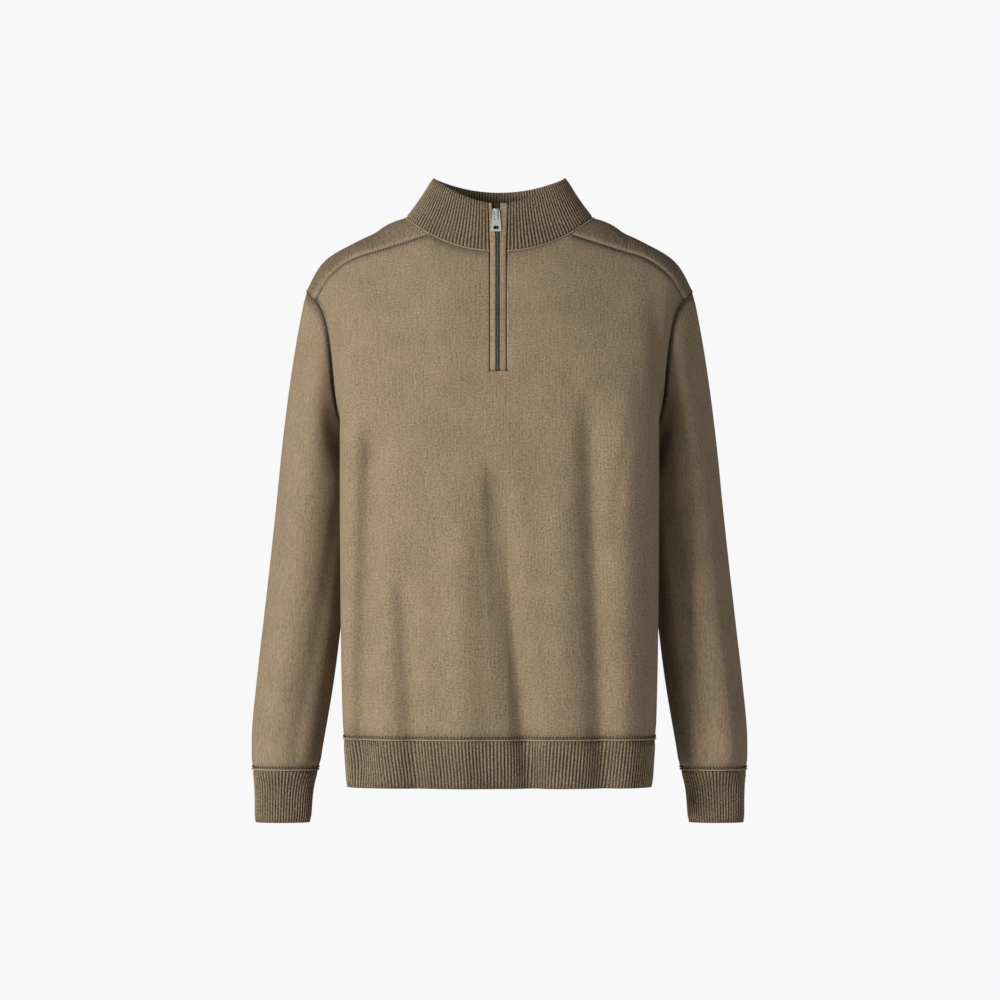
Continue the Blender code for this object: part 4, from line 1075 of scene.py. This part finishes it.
class BuildShoulders(bpy.types.Operator):
    """Builds the ribbed strips over the shoulders with the raised edge along their fronts"""

    bl_idname = "sweater.shoulders"
    bl_label = "Shoulder strips"

    def execute(self, context):
        ribs = context.scene.sweater_ribs
        count = ribs.strip * 5
        along = np.linspace(0, 1, count + 1)
        across = graded(30, start=0.6, end=0.6)
        material = cloth_material("Shoulder knit", context.scene.sweater_cloth.rib, 0.5)
        for hand, mirror in (("right", 1), ("left", -1)):
            grid = strip_arch(along, across) * (mirror, 1, 1)
            low, high = to_ends(lengths(grid, 0), 0)
            near = np.minimum(low, high)
            turns = along[None, :] * ribs.strip + np.zeros_like(low)
            groove = rib_wave(turns) * ease((near - 0.004) / 0.002)
            ridge = bump(low, 0.0022, 0.0016) + 0.5 * bump(high, 0.0022, 0.0016)
            rise = 0.0020 * ridge - ribs.strip_depth * groove
            # Painted shade in the fine ribs' grooves and a painted highlight on the raised edges.
            painted_shading = 0.6 * groove - 0.9 * ridge
            name = f"shoulder_strip_{hand}"
            obj = wall(name + "_cloth", grid, STRIP_WALL, flip=mirror < 0, raise_out=rise,
                       columns_round=0.0012, painted_shading=painted_shading)
            finish(obj, name, material)
            for side in (-1, 1):
                share = np.linspace(0.02, 0.98, DENSE)
                up = rise_of(NECK_COLUMN + (1 - NECK_COLUMN) * share, side)
                seam = strip_seam(share, side)
                out = -side * unit(np.cross(np.gradient(seam, axis=0), up))
                row = (seam - up * 0.0030, up, out)
                row = [v * (mirror, 1, 1) for v in row]
                ticks = stitch_row(f"{name}_{side_name(side)}_stitches", *row, 0.0034, TICK)
                trim(ticks, shaded_yarn_material())
        return {"FINISHED"}


class BuildSleeves(bpy.types.Operator):
    """Builds the two sleeves with their folds"""

    bl_idname = "sweater.sleeves"
    bl_label = "Sleeves"

    def execute(self, context):
        for hand, side in (("right", 1), ("left", -1)):
            grid = sleeve_surface(side, 170, 66, 104)
            low, _ = to_ends(lengths(grid, 0), 0)
            rise = 0.0005 * bump(low, 0.0045, 0.0020) - 0.0008 * bump(low, 0.0, 0.0016)
            # Painted shade: the armhole seam's groove is drawn darker.
            painted_shading = 0.4 * bump(low, 0.0, 0.0010)
            name = f"sleeve_{hand}"
            obj = wall(name + "_cloth", grid, JERSEY_WALL, closed=True, flip=side > 0,
                       raise_out=rise, painted_shading=painted_shading)
            finish(obj, name, jersey_material())
            line = line_at(grid, 0.0032, True)
            out = unit((line - line.mean(axis=0)) * (1, 1, 0))
            ticks = stitch_row(name + "_stitches", line, (0, 0, 1), out, 0.0038, TICK, True)
            trim(ticks, shaded_yarn_material())
            # Painted shade: a thin thread of shaded yarn along the armhole draws the seam's dark line.
            loop = grid[0]
            out = unit((loop - loop.mean(axis=0)) * (0.2, 1, 1) + (0.008 * side, 0, 0))
            trim(tube(name + "_seam", loop, out, 0.0005), shaded_yarn_material())
        return {"FINISHED"}


class BuildCuffs(bpy.types.Operator):
    """Builds the ribbed cuffs and the linking rows above them"""

    bl_idname = "sweater.cuffs"
    bl_label = "Cuffs"

    def execute(self, context):
        ribs = context.scene.sweater_ribs
        count = ribs.cuff * SAMPLES_PER_RIB
        angle = np.linspace(0, 2 * math.pi, DENSE, endpoint=False)
        levels = CUFF_SEAM + (CUFF_BOTTOM - CUFF_SEAM) * graded(16, start=0.7, end=0.8)
        for hand, side in (("right", 1), ("left", -1)):
            rings = [resample(sleeve_ring(z, angle), count, True) for z in levels]
            grid = np.stack(rings) * (side, 1, 1)
            turns = np.arange(count)[None, :] / SAMPLES_PER_RIB + np.zeros((len(levels), 1))
            wave, back = rib_wave(turns), rib_wave(turns + 0.5)
            name = f"cuff_{hand}"
            # Painted shade in the ribs' grooves, on both faces.
            obj = wall(name + "_cloth", grid, RIB_WALL, closed=True, flip=side > 0,
                       raise_out=-ribs.depth * wave, raise_in=-ribs.depth * back,
                       painted_shading=GROOVE * wave, painted_shading_in=GROOVE * back)
            finish(obj, name, rib_material())
            ring = resample(sleeve_ring(CUFF_SEAM, angle), ribs.cuff * 6, True) * (side, 1, 1)
            trim(linking_row(f"cuff_linking_{hand}", ring, -0.0002), linking_material())
        return {"FINISHED"}


def collar_rows(levels, count):
    """The collar's rows, open at the zip: straight from the neckline to the top edge with a
    slight inward bow. Near the zip the top's angles turn to keep the slot's width."""
    start = math.acos(PLACKET_RIGHT / NECK_HALF_WIDTH)
    end = -math.pi - math.acos(-PLACKET_LEFT / NECK_HALF_WIDTH)
    angle = np.linspace(start, end, 4 * DENSE)
    right = math.acos(PLACKET_TOP_RIGHT / TOP_HALF_WIDTH) - start
    left = -math.pi - math.acos(-PLACKET_TOP_LEFT / TOP_HALF_WIDTH) - end
    shift = right * (1 - ease((start - angle) / OPENING_REACH))
    shift = shift + left * (1 - ease((angle - end) / OPENING_REACH))
    low, top = neckline(angle), collar_top(angle + shift)
    bow = COLLAR_BOW * unit(low * (1, 1, 0))
    return np.stack([resample(low + (top - low) * t - bow * 4 * t * (1 - t), count) for t in levels])


class BuildCollar(bpy.types.Operator):
    """Builds the ribbed stand collar and the linking row at its base"""

    bl_idname = "sweater.collar"
    bl_label = "Collar"

    def execute(self, context):
        ribs = context.scene.sweater_ribs
        count = ribs.collar * SAMPLES_PER_RIB + 1
        grid = collar_rows(graded(20, start=0.6, end=0.85), count)
        turns = np.arange(count)[None, :] / SAMPLES_PER_RIB + 0.5 * np.ones((len(grid), 1))
        wave, back = rib_wave(turns), rib_wave(turns + 0.5)
        # Painted shade in the ribs' grooves, on both faces.
        obj = wall("collar_cloth", grid, COLLAR_WALL, raise_out=-ribs.depth * wave,
                   raise_in=-ribs.depth * back, rows_round=0.0015, columns_round=0.0010,
                   painted_shading=GROOVE * wave, painted_shading_in=GROOVE * back)
        finish(obj, "collar", rib_material())
        seam = collar_rows([0.0], ribs.collar * 6)[0]
        out = unit(seam * (1, 1, 0) - (0, (NECK_FRONT + NECK_BACK) / 2, 0))
        row = linking_row("collar_linking", seam, 0.0, 0.0008, False, out)
        trim(row, linking_material())
        return {"FINISHED"}


class BuildZip(bpy.types.Operator):
    """Builds the edging strips, their stitching, the teeth, the slider and the pull tab"""

    bl_idname = "sweater.zip"
    bl_label = "Zip"

    def execute(self, context):
        cloth, zipper = context.scene.sweater_cloth, context.scene.sweater_zip
        line, out = zip_line(180)
        z = line[:, 2]
        middle, half = zip_gap(z)
        left = placket_edge(z, PLACKET_LEFT, PLACKET_TOP_LEFT) + 0.0004
        right = placket_edge(z, PLACKET_RIGHT, PLACKET_TOP_RIGHT) - 0.0004
        across = graded(14, start=0.6, end=0.6)[None, :, None]
        # Painted shade: the right strip is drawn at 0.80 of the edging's colour for the shadow it lies in
        # beside the zip.
        sides = (("left", left, middle - half, 1.0), ("right", middle + half, right, 0.80))
        for hand, first, second, tone_and_shade in sides:
            first_edge = line + np.stack([first, 0 * z, 0 * z], axis=-1)
            second_edge = line + np.stack([second, 0 * z, 0 * z], axis=-1)
            grid = first_edge[:, None] * (1 - across) + second_edge[:, None] * across
            crown = 0.0007 + 0.0006 * np.sin(math.pi * across[..., 0]) ** 0.7
            grid = grid + out[:, None] * crown[..., None]
            colour = tuple(c * tone_and_shade for c in cloth.edging)
            material = cloth_material(f"Edging {hand}", colour)
            name = f"zip_edging_{hand}"
            obj = wall(name + "_cloth", grid, 0.0024, columns_round=0.0009, rows_round=0.0009)
            finish(obj, name, material)
        # Painted shade: the placket's stitches are drawn in shaded yarn.
        trim(self.stitches(line, out, left, right), shaded_yarn_material())
        self.metalwork(zipper, line, out, middle)
        return {"FINISHED"}

    def stitches(self, line, out, left, right):
        """Dashes down both edges of the placket and across its lower end."""
        below = line[:, 2] < -0.046
        places = []
        for x in (left - 0.0009, right + 0.0009):
            path = (line + np.stack([x, 0 * x, 0 * x], axis=-1) + out * 0.0001)[below]
            places.append(resample(path, 56))
        low = line[0] + out[0] * 0.0009
        ends = np.stack([low + (x[0], 0, 0.0012) for x in (left - 0.001, right + 0.001)])
        bottom = resample(ends, 9)
        centres = np.concatenate([*places, bottom])
        up = np.tile((0.0, 0.0, 1.0), (len(centres), 1))
        up[-len(bottom):] = (1.0, 0.0, 0.0)
        outward = np.tile((0.0, -1.0, 0.0), (len(centres), 1))
        sideways = np.cross(up, outward)
        return many("placket_stitches", centres, sideways, up, outward, (0.0005, 0.0012, 0.0004), 2.0)

    def metalwork(self, zipper, line, out, middle):
        """Teeth by turns from the left and the right, the tape, the slider and the tab."""
        teeth = metal("Teeth", tuple(zipper.teeth), 0.38, 900.0)
        path = line + np.stack([middle, 0 * middle, 0 * middle], axis=-1) - out * 0.0010
        path, aim = path[line[:, 2] < CHAIN_TOP], out[line[:, 2] < CHAIN_TOP]
        length = float(np.sum(np.linalg.norm(np.diff(path, axis=0), axis=1)))
        count = 2 * int(length / zipper.pitch)
        centres, outward = resample(path, count), unit(resample(aim, count))
        hand = np.where(np.arange(count) % 2, 1.0, -1.0)[:, None]
        across = np.tile((1.0, 0.0, 0.0), (count, 1))
        up = np.cross(outward, across)
        chain = many("zip_teeth", centres + across * hand * 0.0006, across, up, outward,
                     (0.0013, 0.00045, 0.0008), 4.0)
        chain.data.materials.clear()
        chain.data.materials.append(teeth)
        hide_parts("zip_chain")
        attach(chain, GARMENT)
        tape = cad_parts["zip_tape"]
        tape.data.materials.clear()
        tape.data.materials.append(woven("Zip tape", tuple(zipper.tape), 0.0009))
        nickel = metal("Nickel", tuple(zipper.nickel), 0.42, 700.0)
        metal_copy("zip_slider_metal", "zip_slider", GARMENT, nickel, 0.00025)
        metal_copy("pull_tab_metal", "pull_tab", TAB, nickel, 0.00022)


class BuildStage(bpy.types.Operator):
    """Sets up the floor, the pale surroundings, the soft lights and the camera"""

    bl_idname = "sweater.stage"
    bl_label = "Stage"

    def execute(self, context):
        stage, scene = context.scene.sweater_stage, context.scene
        low, high = (np.array(corner) for corner in CAD_BOX)
        centre = (low + high) / 2
        floor = self.floor(stage)
        world = bpy.data.worlds.new("Pale studio")
        scene.world = world
        world.use_nodes = True
        self.surroundings(world.node_tree, stage)
        for name, energy, size, place in (
            ("Key", 170.0, 1.0, (-2.6, -2.9, 0.8)),
            ("Fill", 30.0, 1.6, (2.6, -2.8, 0.9)),
            ("Rim left", 16.0, 1.0, (-2.7, 0.3, 0.6)),
            ("Rim right", 6.0, 1.0, (2.6, 1.0, 0.8)),
        ):
            self.light(name, energy, size, centre + place, centre)
        camera = bpy.data.objects.new("Camera", bpy.data.cameras.new("Camera"))
        scene.collection.objects.link(camera)
        camera.location = (0.0006, centre[1] - stage.distance, -0.3384)
        camera.rotation_euler = (math.pi / 2, 0, 0)
        camera.data.lens = camera.data.sensor_width * stage.distance / stage.width
        camera.data.clip_end = 100
        scene.camera = camera
        scene.view_settings.view_transform = "Standard"
        return {"FINISHED"}

    def floor(self, stage):
        turn = np.linspace(0, 2 * math.pi, 96, endpoint=False)
        rim = np.stack([4 * np.cos(turn), 4 * np.sin(turn), 0 * turn - stage.floor], axis=-1)
        mesh = bpy.data.meshes.new("floor")
        mesh.from_pydata(rim.tolist(), [], [tuple(range(len(rim)))])
        obj = bpy.data.objects.new("floor", mesh)
        bpy.context.scene.collection.objects.link(obj)
        pale = new_material("Pale floor", (0.86, 0.86, 0.86), 0.9)[0]
        mesh.materials.append(pale)
        return obj

    def surroundings(self, tree, stage):
        """A pale sky that lights the cloth a little less than it shows."""
        tree.nodes.clear()
        output = tree.nodes.new("ShaderNodeOutputWorld")
        shades = []
        for level in (0.11, stage.backdrop):
            shade = tree.nodes.new("ShaderNodeBackground")
            shade.inputs["Color"].default_value = (level, level, level, 1)
            shades.append(shade)
        mix = tree.nodes.new("ShaderNodeMixShader")
        path = tree.nodes.new("ShaderNodeLightPath")
        tree.links.new(path.outputs["Is Camera Ray"], mix.inputs[0])
        for i, shade in enumerate(shades):
            tree.links.new(shade.outputs[0], mix.inputs[1 + i])
        tree.links.new(mix.outputs[0], output.inputs[0])

    def light(self, name, energy, size, place, target):
        data = bpy.data.lights.new(name, "AREA")
        data.energy = energy
        data.size = size
        obj = bpy.data.objects.new(name, data)
        bpy.context.scene.collection.objects.link(obj)
        obj.location = place
        aim = unit(np.asarray(target) - np.asarray(place))
        tilt = math.acos(-aim[2])
        obj.rotation_euler = (tilt, 0, math.atan2(aim[1], aim[0]) - math.pi / 2)


OPERATORS = (BuildBody, BuildHem, BuildShoulders, BuildSleeves, BuildCuffs, BuildCollar,
             BuildZip, BuildStage)
GROUPS = {
    "sweater_cloth": SweaterCloth,
    "sweater_ribs": SweaterRibs,
    "sweater_zip": SweaterZip,
    "sweater_stage": SweaterStage,
}


class SweaterPanel(bpy.types.Panel):
    """Lists the steps that build the sweater"""

    bl_idname = "VIEW3D_PT_sweater"
    bl_label = "Sweater"
    bl_space_type = "VIEW_3D"
    bl_region_type = "UI"
    bl_category = "Sweater"

    def draw(self, context):
        for group, kind in GROUPS.items():
            box = self.layout.box()
            for name in kind.__annotations__:
                box.prop(getattr(context.scene, group), name)
        for operator in OPERATORS:
            self.layout.operator(operator.bl_idname)


def register():
    for kind in (*GROUPS.values(), *OPERATORS, SweaterPanel):
        bpy.utils.register_class(kind)
    for name, kind in GROUPS.items():
        setattr(bpy.types.Scene, name, bpy.props.PointerProperty(type=kind))


def unregister():
    for name in GROUPS:
        delattr(bpy.types.Scene, name)
    for kind in reversed((*GROUPS.values(), *OPERATORS, SweaterPanel)):
        bpy.utils.unregister_class(kind)


def main():
    register()
    for operator in OPERATORS:
        group, name = operator.bl_idname.split(".")
        getattr(getattr(bpy.ops, group), name)()


if __name__ == "__main__":
    main()
